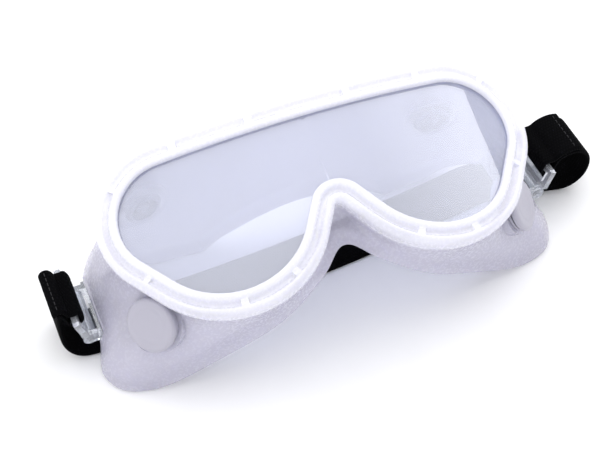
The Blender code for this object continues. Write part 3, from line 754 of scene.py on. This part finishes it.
def vinyl_material(settings):
    """Soft milky vinyl with a lavender cast, painted paler on the thick rim to stand in for the
    light it scatters and its glossy highlights.
    """
    material, tree, shader, surface = finished_material(
        "soft_vinyl", "Moulded Surface",
        {"Colour": rgba(settings.vinyl), "Shade": rgba(settings.vinyl, 0.90), "Mottle": 0.5,
         "Roughness Low": 0.20, "Roughness High": 0.32},
        {"Alpha": 1.0 - settings.clearness, "IOR": 1.52, "Coat Weight": 0.35,
         "Coat Roughness": 0.10, "Subsurface Weight": 0.25,
         "Subsurface Radius": (0.6, 0.6, 0.9), "Subsurface Scale": 0.004}, 0.10)
    # painted light: blend to the paler rim colour, standing in for the thick rim's scattered light
    # and glossy highlights
    thick = tree.nodes.new("ShaderNodeAttribute")
    thick.attribute_name = "thick"
    tree.links.new(blended(tree, thick.outputs["Fac"], surface.outputs["Colour"],
                           rgba(settings.rim)), shader.inputs["Base Color"])
    return material


def lens_material(settings):
    """Clear polycarbonate with light handling marks."""
    material, tree, shader, _ = finished_material(
        "clear_lens", "Handling Wear",
        {"Base Roughness": 0.02, "Haze": 0.03, "Scratch": 0.05},
        {"Base Color": rgba(settings.tint), "IOR": settings.index, "Specular IOR Level": 1.0,
         "Transmission Weight": 0.76}, 0.03)
    let_lamps_through(tree, shader, [0.8 * channel for channel in settings.tint])
    return material


def vent_material(settings):
    """Satin grey plastic with a fine moulded grain."""
    return finished_material(
        "vent_plastic", "Moulded Surface",
        {"Colour": rgba(settings.plastic), "Shade": rgba(settings.plastic, 0.88),
         "Mottle": 0.4, "Roughness Low": 0.34, "Roughness High": 0.48}, {}, 0.25)[0]


def clip_material(settings):
    """Clear glossy plastic, hazed where fingers and webbing rub it."""
    material, tree, shader, _ = finished_material(
        "clip_plastic", "Handling Wear",
        {"Base Roughness": 0.05, "Haze": 0.10, "Scratch": 0.15},
        {"Base Color": rgba(settings.plastic), "IOR": 1.50, "Transmission Weight": 0.80}, 0.05)
    let_lamps_through(tree, shader, settings.plastic)
    return material


def webbing_material(settings):
    """Black braided elastic."""
    material, tree, shader, weave = finished_material(
        "black_webbing", "Elastic Weave",
        {"Colour": rgba(settings.webbing), "Lint": rgba(settings.webbing, 2.2),
         "Ribs": math.pi * settings.ribs / STRAP_WIDTH, "Picks": 2 * math.pi / settings.pick},
        {"Specular IOR Level": 0.03}, 0.8)
    shader.inputs["Normal"].links[0].from_node.inputs["Distance"].default_value = 2 * FINE_BUMP
    return material


def thread_material(name, colour):
    """Twisted sewing thread."""
    material, tree, shader = new_material(name)
    place = tree.nodes.new("ShaderNodeTexCoord").outputs["Object"]
    twist = noise(tree, place, 5200.0, 1.0)
    tree.links.new(blended(tree, twist, rgba(colour, 0.7), rgba(colour, 1.3)),
                   shader.inputs["Base Color"])
    shader.inputs["Roughness"].default_value = 0.7
    add_bump(tree, shader, twist, 0.5, FINE_BUMP)
    return material


# ---------------------------------------------------------------- face body


def lug_height(station):
    """How much of a lug stands in the rim's groove at a station, from 0 to 1."""
    nearest = min(abs(station - lug) for lug in LUG_STATIONS)
    share = (LUG_HALF + LUG_EDGE - nearest) / LUG_EDGE
    return min(max(share, 0.0), 1.0)


def body_stations():
    """Stations round half the outline, with close pairs at each lug's ends."""
    stations = list(np.linspace(0.0, LAST, 3 * LAST + 1))
    for lug in LUG_STATIONS:
        for side in (-1, 1):
            for edge in (0.0, LUG_EDGE):
                stations.append(lug + side * (LUG_HALF + edge))
    return sorted(stations)


def body_section(station, lug_rise):
    """Closed section of the soft body at a station, with rounded corners."""
    slot = LENS_CLEARANCE
    seat = LENS_SEAT + LENS_CLEARANCE
    floor = -LENS_THICKNESS - LENS_CLEARANCE
    lug = lug_rise * lug_height(station)
    rim = [(width * RIM_WIDTH, crown * RIM_CROWN + (lug if in_groove else 0.0))
           for width, crown, in_groove in RIM_TOP]
    rim += [(width * RIM_WIDTH, -depth * RIM_DEPTH) for width, depth in RIM_SIDE]
    points = [rim_point(station, n, w) for n, w in rim]
    points += [wall_point(station, row / WALL_ROWS, 0.0) for row in range(WALL_ROWS + 1)]
    edge = seal_point(station)
    inward = seal_inward(station)
    lift = np.array([0.0, 0.0, SEAL_LIP * WALL])
    points.append(edge + inward * SEAL_ROUND)
    points.append(edge + inward * 0.5 * SEAL_WIDTH)
    points.append(edge + inward * SEAL_WIDTH)
    points.append(edge + inward * SEAL_WIDTH + lift)
    points += [wall_point(station, 1 - row / WALL_ROWS, WALL) for row in range(WALL_ROWS + 1)]
    back = [
        (RIM_UNDERCUT * LENS_SEAT, -RIM_DEPTH),
        (LEDGE_ROOT * RIM_WIDTH, floor - LENS_LEDGE),
        (LEDGE_ROOT * RIM_WIDTH, floor - LENS_LEDGE / 6),
        (seat - CORNER_HOLD, floor),
        (seat, floor),
        (seat, 0.5 * floor),
        (seat, slot),
        (seat - CORNER_HOLD, slot),
        (0.0, slot),
    ]
    points += [rim_point(station, n, w) for n, w in back]
    return smoothed(points, 2) + SHIFT


def vent_matrix(station, share, side):
    """Frame on the wall's outside: local +Z points out of the goggles."""
    here, normal = wall_frame(station, share)
    here = Vector((here[0] * side, here[1], here[2])) + Vector(SHIFT)
    normal = Vector((normal[0] * side, normal[1], normal[2]))
    turn = normal.to_track_quat("Z", "Y").to_matrix().to_4x4()
    return Matrix.Translation(here) @ turn


def vent_places():
    """Name and frame of each of the four vents."""
    places = {}
    for row_name, (station, share) in (("cheek", CHEEK_VENT), ("brow", BROW_VENT)):
        for side_name, side in SIDES:
            places["%s_vent_%s" % (row_name, side_name)] = vent_matrix(station, share, side)
    return places


def anchor_seat():
    """Outward place and middle of the flat that an anchor seats on."""
    low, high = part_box("strap_anchor_right")
    middle = (low[1] + high[1]) / 2
    pivot = high[0] - EAR_RADIUS
    return pivot - PIVOT_OUT - ANCHOR_PLATE - FIT - SHIFT[0], middle - SHIFT[1]


ANCHOR_X, ANCHOR_Y = anchor_seat()
PIVOT_X = ANCHOR_X + FIT + ANCHOR_PLATE + PIVOT_OUT


def body_helpers():
    """Bosses to join and holes to cut, for the vents and the strap anchors."""
    joins = []
    cuts = []
    for name, place in vent_places().items():
        boss = turned(name + "_boss", [
            (0.0, BOSS_OUT + FACING), (BOSS_RADIUS, BOSS_OUT + FACING),
            (BOSS_RADIUS, -BOSS_IN), (0.0, -BOSS_IN)], BOSS_STEPS, None)
        relief = BOSS_RADIUS + 4 * VENT_GAP
        outer = BOSS_OUT + CUT_THROUGH
        inner = -BOSS_IN - CUT_THROUGH
        hole = turned(name + "_hole", [
            (0.0, outer), (relief, outer), (relief, BOSS_OUT),
            (VENT_HOLE, BOSS_OUT), (VENT_HOLE, inner), (0.0, inner)], BOSS_STEPS, None)
        for item in (boss, hole):
            item.matrix_world = place
        joins.append(boss)
        cuts.append(hole)
    depth = ANCHOR_BOSS_IN
    wide = ANCHOR_WIDTH + 2 * ANCHOR_BOSS_MARGIN
    tall = ANCHOR_TALL + 2 * ANCHOR_BOSS_MARGIN
    for side_name, side in SIDES:
        joins.append(block("anchor_boss_" + side_name, (depth + FACING, wide, tall), (
            side * (ANCHOR_X + FACING - (depth + FACING) / 2), ANCHOR_Y, ANCHOR_HEIGHT)))
        cuts.append(block("anchor_face_" + side_name,
                          (2 * depth, wide + 2 * FACING, tall + 2 * FACING),
                          (side * (ANCHOR_X + depth), ANCHOR_Y, ANCHOR_HEIGHT)))
        cuts.append(block("anchor_slot_" + side_name,
                          (4 * depth, STUD_WIDTH + 2 * FIT, STUD_TALL + 2 * FIT),
                          (side * (ANCHOR_X - depth / 2), ANCHOR_Y, ANCHOR_HEIGHT)))
    return joins, cuts


def mark_painted_rim_light(body):
    """Mark how far each point belongs to the thick rim rather than to the thin wall, where the
    rim's painted lighter colour goes.
    """
    mark = body.data.attributes.new("thick", "FLOAT", "POINT")
    for vertex in body.data.vertices:
        x, y, z = np.array(vertex.co) - SHIFT
        z -= LENS_HEIGHT
        rise = z * math.cos(LENS_TILT) - y * math.sin(LENS_TILT)
        above = math.hypot(x, LENS_BEND + rise) - LENS_BEND
        share = min(max(1.0 + (above + RIM_DEPTH) / RIM_FADE, 0.0), 1.0)
        mark.data[vertex.index].value = share * share * (3 - 2 * share)


class GOGGLES_OT_face_body(bpy.types.Operator):
    """Build the soft face body with its rim, walls, seal, bosses and holes"""

    bl_idname = "goggles.face_body"
    bl_label = "Face Body"

    def execute(self, context):
        settings = context.scene.goggles_body
        stations = body_stations()
        rings = [body_section(station, settings.lug_rise) for station in stations]
        middle = SHIFT[0]
        for ring in rings[-2:0:-1]:
            other = ring.copy()
            other[:, 0] = 2 * middle - other[:, 0]
            rings.append(other)
        bm = bmesh.new()
        loops = [[bm.verts.new(point) for point in ring] for ring in rings]
        count = len(loops[0])
        for index, loop in enumerate(loops):
            following = loops[(index + 1) % len(loops)]
            for corner in range(count):
                after = (corner + 1) % count
                bm.faces.new((loop[corner], loop[after], following[after], following[corner]))
        body = link_mesh("soft_face_body", bm, vinyl_material(settings))
        joins, cuts = body_helpers()
        for item in joins:
            boolean(body, item, "UNION")
        for item in cuts:
            boolean(body, item, "DIFFERENCE")
        bake_modifiers(body)
        for item in joins + cuts:
            bpy.data.objects.remove(item, do_unlink=True)
        mark_painted_rim_light(body)
        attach(body, "root")
        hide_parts("face_body")
        return {"FINISHED"}


# ---------------------------------------------------------------- lens


class GOGGLES_OT_lens(bpy.types.Operator):
    """Build the curved one-piece lens"""

    bl_idname = "goggles.lens"
    bl_label = "Lens"

    def execute(self, context):
        settings = context.scene.goggles_lens
        bm = bmesh.new()
        outline = lens_edge_points(LENS_SEAT - settings.edge_trim)
        bm.faces.new([bm.verts.new((u, v, 0.0)) for u, v in outline])
        half_width = max(point[0] for point in outline)
        cuts = int(half_width / LENS_STRIP)
        for index in range(-cuts, cuts + 1):
            bmesh.ops.bisect_plane(bm, geom=bm.verts[:] + bm.edges[:] + bm.faces[:],
                                   plane_co=(index * LENS_STRIP, 0, 0), plane_no=(1, 0, 0))
        bmesh.ops.triangulate(bm, faces=bm.faces)
        top = bm.faces[:]
        extruded = bmesh.ops.extrude_face_region(bm, geom=top, use_keep_orig=True)
        lower = {part for part in extruded["geom"] if isinstance(part, bmesh.types.BMVert)}
        for vertex in bm.verts:
            depth = -LENS_THICKNESS if vertex in lower else 0.0
            vertex.co = Vector(bent(vertex.co.x, vertex.co.y, depth) + SHIFT)
        lens = link_mesh("curved_lens", bm, lens_material(settings))
        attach(lens, "root")
        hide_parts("lens")
        return {"FINISHED"}


# ---------------------------------------------------------------- vents


def cap_profile(dish):
    """Half-section of a vent cap: dished face, rolled edge, skirt and stem."""
    hub_top = BOSS_OUT + VENT_GAP + SEAT_FLANGE_THICKNESS
    under = hub_top + CAP_LIFT
    top = under + CAP_THICKNESS
    stem_end = -BOSS_IN - VENT_GAP - FIT
    profile = [(0.0, top - dish)]
    for step in range(1, 9):
        share = step / 8
        profile.append((0.62 * CAP_RADIUS * share, top - dish * (1 - share * share)))
    profile += [(0.66 * CAP_RADIUS, top - 0.0001), (0.70 * CAP_RADIUS, top),
                (0.84 * CAP_RADIUS, top)]
    roll = 0.14 * CAP_RADIUS
    for step in range(1, 7):
        angle = math.pi / 2 * (1 - step / 6)
        profile.append((CAP_RADIUS - roll + roll * math.cos(angle),
                        top - 0.9 * CAP_THICKNESS + 0.9 * CAP_THICKNESS * math.sin(angle)))
    profile += [
        (CAP_RADIUS, under - 0.8 * CAP_SKIRT), (CAP_RADIUS - 0.2 * CAP_SKIRT, under - CAP_SKIRT),
        (CAP_RADIUS - CAP_SKIRT, under - CAP_SKIRT), (CAP_RADIUS - CAP_SKIRT, under),
        (STEM_RADIUS, under), (STEM_RADIUS, stem_end), (STEM_HEAD, stem_end - FIT),
        (STEM_RADIUS, stem_end - STEM_TIP), (0.0, stem_end - STEM_TIP)]
    return profile


class GOGGLES_OT_vents(bpy.types.Operator):
    """Build the four vent caps and finish the seats under them"""

    bl_idname = "goggles.vents"
    bl_label = "Vents"

    def execute(self, context):
        settings = context.scene.goggles_vents
        material = vent_material(settings)
        for name, place in vent_places().items():
            cap = turned(name + "_dished_cap", cap_profile(settings.dish), settings.steps,
                         material)
            bake_modifiers(cap, math.radians(50))
            cap.matrix_world = place
            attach(cap, "root")
            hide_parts(name + "_cap")
            finish_node(name + "_seat", material, 0.0)
        return {"FINISHED"}


# ---------------------------------------------------------------- anchors, clips


def finish_node(name, material, edge):
    """Give a carried-over node its finish and rounded edges."""
    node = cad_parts[name]
    node.data.materials.clear()
    node.data.materials.append(material)
    if edge > 0.0:
        bevel = node.modifiers.new("edges", "BEVEL")
        bevel.width = edge
        bevel.segments = 3
        bevel.limit_method = "ANGLE"
        bevel.angle_limit = math.radians(40)
        bevel.harden_normals = True
    return node


class GOGGLES_OT_clips(bpy.types.Operator):
    """Finish the strap anchors, their back plates and the turning clips"""

    bl_idname = "goggles.clips"
    bl_label = "Clips"

    def execute(self, context):
        settings = context.scene.goggles_clips
        material = clip_material(settings)
        for side_name, _ in SIDES:
            finish_node("strap_anchor_" + side_name, material, settings.edge)
            finish_node("anchor_back_plate_" + side_name, material, settings.edge)
            finish_node("strap_clip_" + side_name, material, settings.edge)
        return {"FINISHED"}


# ---------------------------------------------------------------- strap


def strap_plan(x):
    """Where the strap's centre line lies in Y as it passes under the mask."""
    return (ANCHOR_Y + STRAP_BROW_EDGE - STRAP_WIDTH / 2
            + STRAP_SLANT * x + STRAP_BOW * x * x)


def cubic(first, second, third, fourth, steps):
    """Points on a Bezier curve, without its first point."""
    points = []
    for step in range(1, steps + 1):
        t = step / steps
        points.append((1 - t)**3 * first + 3 * (1 - t)**2 * t * second
                      + 3 * (1 - t) * t**2 * third + t**3 * fourth)
    return points


def clip_point(along, out):
    """Side view (x, z) of a point in a clip's own frame."""
    x = PIVOT_X + along * math.cos(CLIP_RISE) - out * math.sin(CLIP_RISE)
    z = ANCHOR_HEIGHT + along * math.sin(CLIP_RISE) + out * math.cos(CLIP_RISE)
    return np.array([x, z])


def side_path(reach):
    """Side view of the webbing from its folded tail round the clip to the run's joint."""
    level = STRAP_LIFT + STRAP_THICKNESS / 2
    radius = math.hypot(CLIP_BAR, CLIP_THICKNESS) / 2 + STRAP_GAP + STRAP_THICKNESS / 2
    centre = CLIP_LENGTH - CLIP_BAR / 2
    loop = []
    steps = 14
    for step in range(steps + 1):
        angle = math.pi / 2 + math.pi * step / steps
        loop.append(clip_point(centre + radius * math.cos(angle), radius * math.sin(angle)))
    heading = np.array([math.cos(CLIP_RISE), math.sin(CLIP_RISE)])
    start = clip_point(centre + STRAP_LAP, -radius)
    widest = np.array([reach, BEND_HEIGHT * (start[1] + level)])
    landing = np.array([reach - STRAP_FOOT, level])
    bend = [start]
    bend += cubic(start, start + STRAP_RISE * heading,
                  widest + np.array([0.0, BEND_DROP * (start[1] - level)]), widest, 24)
    bend += cubic(widest, widest - np.array([0.0, BEND_CURL * widest[1]]),
                  landing + np.array([FOOT_EASE * STRAP_FOOT, 0.0]), landing, 18)
    joint = np.array([ANCHOR_X - STRAP_JOINT_IN, level])
    bend += [landing + (joint - landing) * share for share in np.linspace(0.05, 1.0, 20)]
    lapped = []
    for index in range(2, 2 + TAIL_POINTS):
        along = bend[index + 1] - bend[index - 1]
        along /= np.linalg.norm(along)
        out = np.array([-along[1], along[0]])
        if out[1] < 0 and index < TURN_OVER:
            out = -out
        lapped.append(bend[index] + out * (STRAP_THICKNESS + TAIL_GAP))
    first = loop[0]
    rise = cubic(first, first + TAIL_RISE * heading, lapped[0] - np.array(TAIL_REST),
                 lapped[0], 14)
    tail = [first] + rise + lapped[1:]
    return tail[::-1] + loop[1:] + bend


def running_length(path):
    """Distance along a path at each of its points."""
    return np.concatenate([[0.0], np.cumsum(np.linalg.norm(np.diff(path, axis=0), axis=1))])


def even_steps(path, step):
    """Resample a path at even steps."""
    path = np.array(path)
    lengths = running_length(path)
    count = max(int(lengths[-1] / step), 4)
    at = np.linspace(0.0, lengths[-1], count + 1)
    return np.stack([np.interp(at, lengths, path[:, axis]) for axis in range(path.shape[1])], 1)


def webbing(name, path, settings, material):
    """Woven strip along (x, y, z) points: ribbed faces, rolled edges and closed ends."""
    path = np.array(path)
    along = np.gradient(path, axis=0)
    along /= np.linalg.norm(along, axis=1)[:, None]
    flat = along * np.array([1.0, 0.0, 1.0])
    flat /= np.linalg.norm(flat, axis=1)[:, None]
    normal = np.stack([-flat[:, 2], np.zeros(len(flat)), flat[:, 0]], 1)
    ribs = settings.ribs
    across = np.linspace(-1.0, 1.0, 4 * ribs + 1)
    lengths = running_length(path)
    bm = bmesh.new()
    weave = bm.loops.layers.uv.new("weave")
    half = STRAP_THICKNESS / 2
    rings = []
    for point, out, length in zip(path, normal, lengths):
        ring = []
        for face in (1, -1):
            for share in across[::face]:
                row = int((share + 1) / 2 * ribs * 0.999)
                turn = length / settings.pick * 2 * math.pi + math.pi * (row % 2)
                rib = abs(math.sin((share + 1) / 2 * ribs * math.pi))
                rise = settings.rib_rise * rib * (0.65 + 0.35 * math.sin(turn))
                edge = min(1.0, (1.0 - abs(share)) * 9.0)
                depth = half * (0.55 + 0.45 * math.sqrt(edge)) - settings.rib_rise + rise
                place = point + out * face * depth + np.array([0, share * STRAP_WIDTH / 2, 0])
                ring.append((bm.verts.new(place), share * STRAP_WIDTH / 2))
        rings.append(ring)
    for near, far, low, high in zip(rings, rings[1:], lengths, lengths[1:]):
        count = len(near)
        for index in range(count):
            after = (index + 1) % count
            face = bm.faces.new((near[index][0], near[after][0], far[after][0], far[index][0]))
            values = ((near[index][1], low), (near[after][1], low),
                      (far[after][1], high), (far[index][1], high))
            for loop, value in zip(face.loops, values):
                loop[weave].uv = value
    for ring in (rings[0], rings[-1]):
        bm.faces.new([vertex for vertex, _ in ring])
    return link_mesh(name, bm, material, math.radians(70))


def stitches(name, rows, lift, material):
    """Short thread loops along rows of (start, end, normal) on the webbing."""
    curve = bpy.data.curves.new(name, "CURVE")
    curve.dimensions = "3D"
    curve.bevel_depth = THREAD_RADIUS
    curve.bevel_resolution = 2
    curve.use_fill_caps = True
    for start, end, out in rows:
        spline = curve.splines.new("POLY")
        spline.points.add(6)
        for index in range(7):
            share = index / 6
            hump = math.sin(math.pi * share)
            place = start + (end - start) * share + out * (lift * hump)
            spline.points[index].co = (*place, 1.0)
    item = bpy.data.objects.new(name, curve)
    bpy.context.scene.collection.objects.link(item)
    graph = bpy.context.evaluated_depsgraph_get()
    mesh = bpy.data.meshes.new_from_object(item.evaluated_get(graph), depsgraph=graph)
    bpy.data.objects.remove(item, do_unlink=True)
    mesh.shade_smooth()
    mesh.materials.clear()
    mesh.materials.append(material)
    piece = bpy.data.objects.new(name, mesh)
    bpy.context.scene.collection.objects.link(piece)
    return piece


def side_strip(side_name, side):
    """The (x, y, z) path of one side's webbing, tail to joint, at even steps."""
    reach = PIVOT_X + STRAP_REACH[side_name]
    flat = even_steps(side_path(reach), WEAVE_STEP)
    lengths = running_length(flat)
    loop_end = lengths[-1] * DRIFT_START
    share = np.clip((lengths - loop_end) / (lengths[-1] - loop_end), 0.0, 1.0)
    ease = share * share * (3 - 2 * share)
    finish = strap_plan(side * (ANCHOR_X - STRAP_JOINT_IN))
    y = ANCHOR_Y + ease * (finish - ANCHOR_Y)
    return np.stack([side * flat[:, 0], y, flat[:, 1]], 1) + SHIFT


class GOGGLES_OT_strap(bpy.types.Operator):
    """Weave the elastic strap: the run under the mask, and a sewn loop at each clip"""

    bl_idname = "goggles.strap"
    bl_label = "Strap"

    def execute(self, context):
        settings = context.scene.goggles_strap
        material = webbing_material(settings)
        thread = thread_material("sewing_thread", settings.thread)
        joint = ANCHOR_X - STRAP_JOINT_IN
        level = STRAP_LIFT + STRAP_THICKNESS / 2
        steps = int(2 * joint / RUN_STEP)
        run = []
        for step in range(steps + 1):
            x = joint * (2 * step / steps - 1)
            run.append((x, strap_plan(x), level))
        strip = webbing("strap_run_webbing", np.array(run) + SHIFT, settings, material)
        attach(strip, "root")
        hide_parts("strap_run")
        for side_name, side in SIDES:
            path = side_strip(side_name, side)
            strip = webbing("strap_loop_" + side_name, path, settings, material)
            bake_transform(strip)
            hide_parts("strap_end_" + side_name, "strap_bend_" + side_name)
            self.sew(side_name, side, path, thread)
        return {"FINISHED"}

    def sew(self, side_name, side, path, thread):
        """Two rows of stitches across the lapped tail."""
        rows = []
        for at in SEAM_ROWS:
            along = path[at + 1] - path[at - 1]
            along /= np.linalg.norm(along)
            out = np.array([-along[2], 0.0, along[0]])
            if out[0] * side < 0:
                out = -out
            base = path[at] + out * (STRAP_THICKNESS / 2)
            pitch = STITCH_PITCH * STITCH
            count = int((STRAP_WIDTH - 2 * STITCH_MARGIN) / pitch)
            half = np.array([0.0, STITCH / 2, 0.0])
            for index in range(count + 1):
                middle = base - out * STITCH_SINK
                middle[1] += (index - count / 2) * pitch
                rows.append((middle - half, middle + half, out))
        seam = stitches("strap_stitches_" + side_name, rows, STITCH_LIFT, thread)
        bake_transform(seam)


# ---------------------------------------------------------------- stage


def area_light(name, place, target, size, power, colour=(1.0, 1.0, 1.0)):
    """A rectangular soft light aimed at a point."""
    lamp = bpy.data.lights.new(name, "AREA")
    lamp.shape = "RECTANGLE"
    lamp.size, lamp.size_y = size
    lamp.energy = power
    lamp.color = colour
    item = bpy.data.objects.new(name, lamp)
    bpy.context.scene.collection.objects.link(item)
    item.location = place
    aim = Vector(target) - Vector(place)
    item.rotation_euler = aim.to_track_quat("-Z", "Y").to_euler()
    return item


def stage_material():
    """Plain white card with a barely visible tooth."""
    material, tree, shader = new_material("white_card")
    place = tree.nodes.new("ShaderNodeTexCoord").outputs["Object"]
    tooth = noise(tree, place, 60.0, 3.0)
    tree.links.new(blended(tree, tooth, (0.90, 0.90, 0.905, 1.0), (0.93, 0.93, 0.935, 1.0)),
                   shader.inputs["Base Color"])
    shader.inputs["Roughness"].default_value = 0.9
    shader.inputs["Specular IOR Level"].default_value = 0.1
    return material


class GOGGLES_OT_stage(bpy.types.Operator):
    """Set out the white card, the soft lights and the camera"""

    bl_idname = "goggles.stage"
    bl_label = "Stage"

    def execute(self, context):
        scene = context.scene
        settings = scene.goggles_stage
        bm = bmesh.new()
        bmesh.ops.create_grid(bm, x_segments=8, y_segments=8, size=3.0)
        floor = link_mesh("white_card_floor", bm, stage_material())
        floor.location.z = -0.0002
        self.light(scene, settings)
        self.aim(scene, settings)
        return {"FINISHED"}

    def light(self, scene, settings):
        """Overhead softbox, a low fill and the surrounding white."""
        world = bpy.data.worlds.new("white_room")
        world.use_nodes = True
        background = world.node_tree.nodes["Background"]
        background.inputs["Color"].default_value = (0.97, 0.975, 1.0, 1.0)
        tree = world.node_tree
        split = tree.nodes.new("ShaderNodeSeparateXYZ")
        tree.links.new(tree.nodes.new("ShaderNodeTexCoord").outputs["Generated"],
                       split.inputs["Vector"])
        tree.links.new(ranged(tree, split.outputs["Z"], 0.72, 0.90, settings.sky,
                              settings.ceiling), background.inputs["Strength"])
        scene.world = world
        scene.view_settings.view_transform = "Standard"
        lens = Vector(SHIFT) + Vector((0.0, 0.0, LENS_HEIGHT))
        area_light("overhead_softbox", lens + Vector((0.12, 0.245, 0.75)),
                   lens + Vector((0.12, 0.245, 0.0)), (1.5, 0.80), settings.key)
        area_light("left_fill", lens + Vector((-0.7, -0.3, 0.4)), lens, (0.5, 0.5),
                   settings.key * 0.1, (0.97, 0.97, 1.0))

    def aim(self, scene, settings):
        """Camera on the cheek side, above and to the viewer's left."""
        turn = settings.azimuth
        tilt = settings.elevation
        ahead = Vector((math.sin(turn) * math.cos(tilt), math.cos(turn) * math.cos(tilt),
                        -math.sin(tilt)))
        right = Vector((math.cos(turn), -math.sin(turn), 0.0))
        up = right.cross(ahead)
        lens = Vector(SHIFT) + Vector((0.0, 0.0, LENS_HEIGHT))
        aside = 0.0246 * settings.distance
        above = 0.0292 * settings.distance
        data = bpy.data.cameras.new("camera")
        data.lens = settings.focal
        data.sensor_width = 36.0
        data.clip_start = 0.01
        camera = bpy.data.objects.new("camera", data)
        scene.collection.objects.link(camera)
        place = lens - ahead * settings.distance - right * aside - up * above
        camera.matrix_world = Matrix.Translation(place) @ Matrix(
            (right, up, -ahead)).transposed().to_4x4()
        scene.camera = camera


# ---------------------------------------------------------------- add-on


class GOGGLES_PT_panel(bpy.types.Panel):
    """Lists the goggles' builders and their settings"""

    bl_idname = "GOGGLES_PT_panel"
    bl_label = "Splash Goggles"
    bl_space_type = "VIEW_3D"
    bl_region_type = "UI"
    bl_category = "Goggles"

    def draw(self, context):
        scene = context.scene
        for label, settings, operator in BUILDERS:
            box = self.layout.box()
            box.operator(operator.bl_idname, text=label)
            group = getattr(scene, settings)
            for name in group.__annotations__:
                box.prop(group, name)


BUILDERS = (
    ("Stage", "goggles_stage", GOGGLES_OT_stage),
    ("Face Body", "goggles_body", GOGGLES_OT_face_body),
    ("Lens", "goggles_lens", GOGGLES_OT_lens),
    ("Vents", "goggles_vents", GOGGLES_OT_vents),
    ("Clips", "goggles_clips", GOGGLES_OT_clips),
    ("Strap", "goggles_strap", GOGGLES_OT_strap),
)

SETTINGS = (
    ("goggles_body", GogglesBodySettings),
    ("goggles_lens", GogglesLensSettings),
    ("goggles_vents", GogglesVentSettings),
    ("goggles_clips", GogglesClipSettings),
    ("goggles_strap", GogglesStrapSettings),
    ("goggles_stage", GogglesStageSettings),
)


def register():
    for name, group in SETTINGS:
        bpy.utils.register_class(group)
        setattr(bpy.types.Scene, name, PointerProperty(type=group))
    for _, _, operator in BUILDERS:
        bpy.utils.register_class(operator)
    bpy.utils.register_class(GOGGLES_PT_panel)


def unregister():
    bpy.utils.unregister_class(GOGGLES_PT_panel)
    for _, _, operator in reversed(BUILDERS):
        bpy.utils.unregister_class(operator)
    for name, group in reversed(SETTINGS):
        delattr(bpy.types.Scene, name)
        bpy.utils.unregister_class(group)


def main():
    """Register the add-on and build every piece of the goggles."""
    register()
    bpy.ops.goggles.stage()
    bpy.ops.goggles.face_body()
    bpy.ops.goggles.lens()
    bpy.ops.goggles.vents()
    bpy.ops.goggles.clips()
    bpy.ops.goggles.strap()


if __name__ == "__main__":
    main()
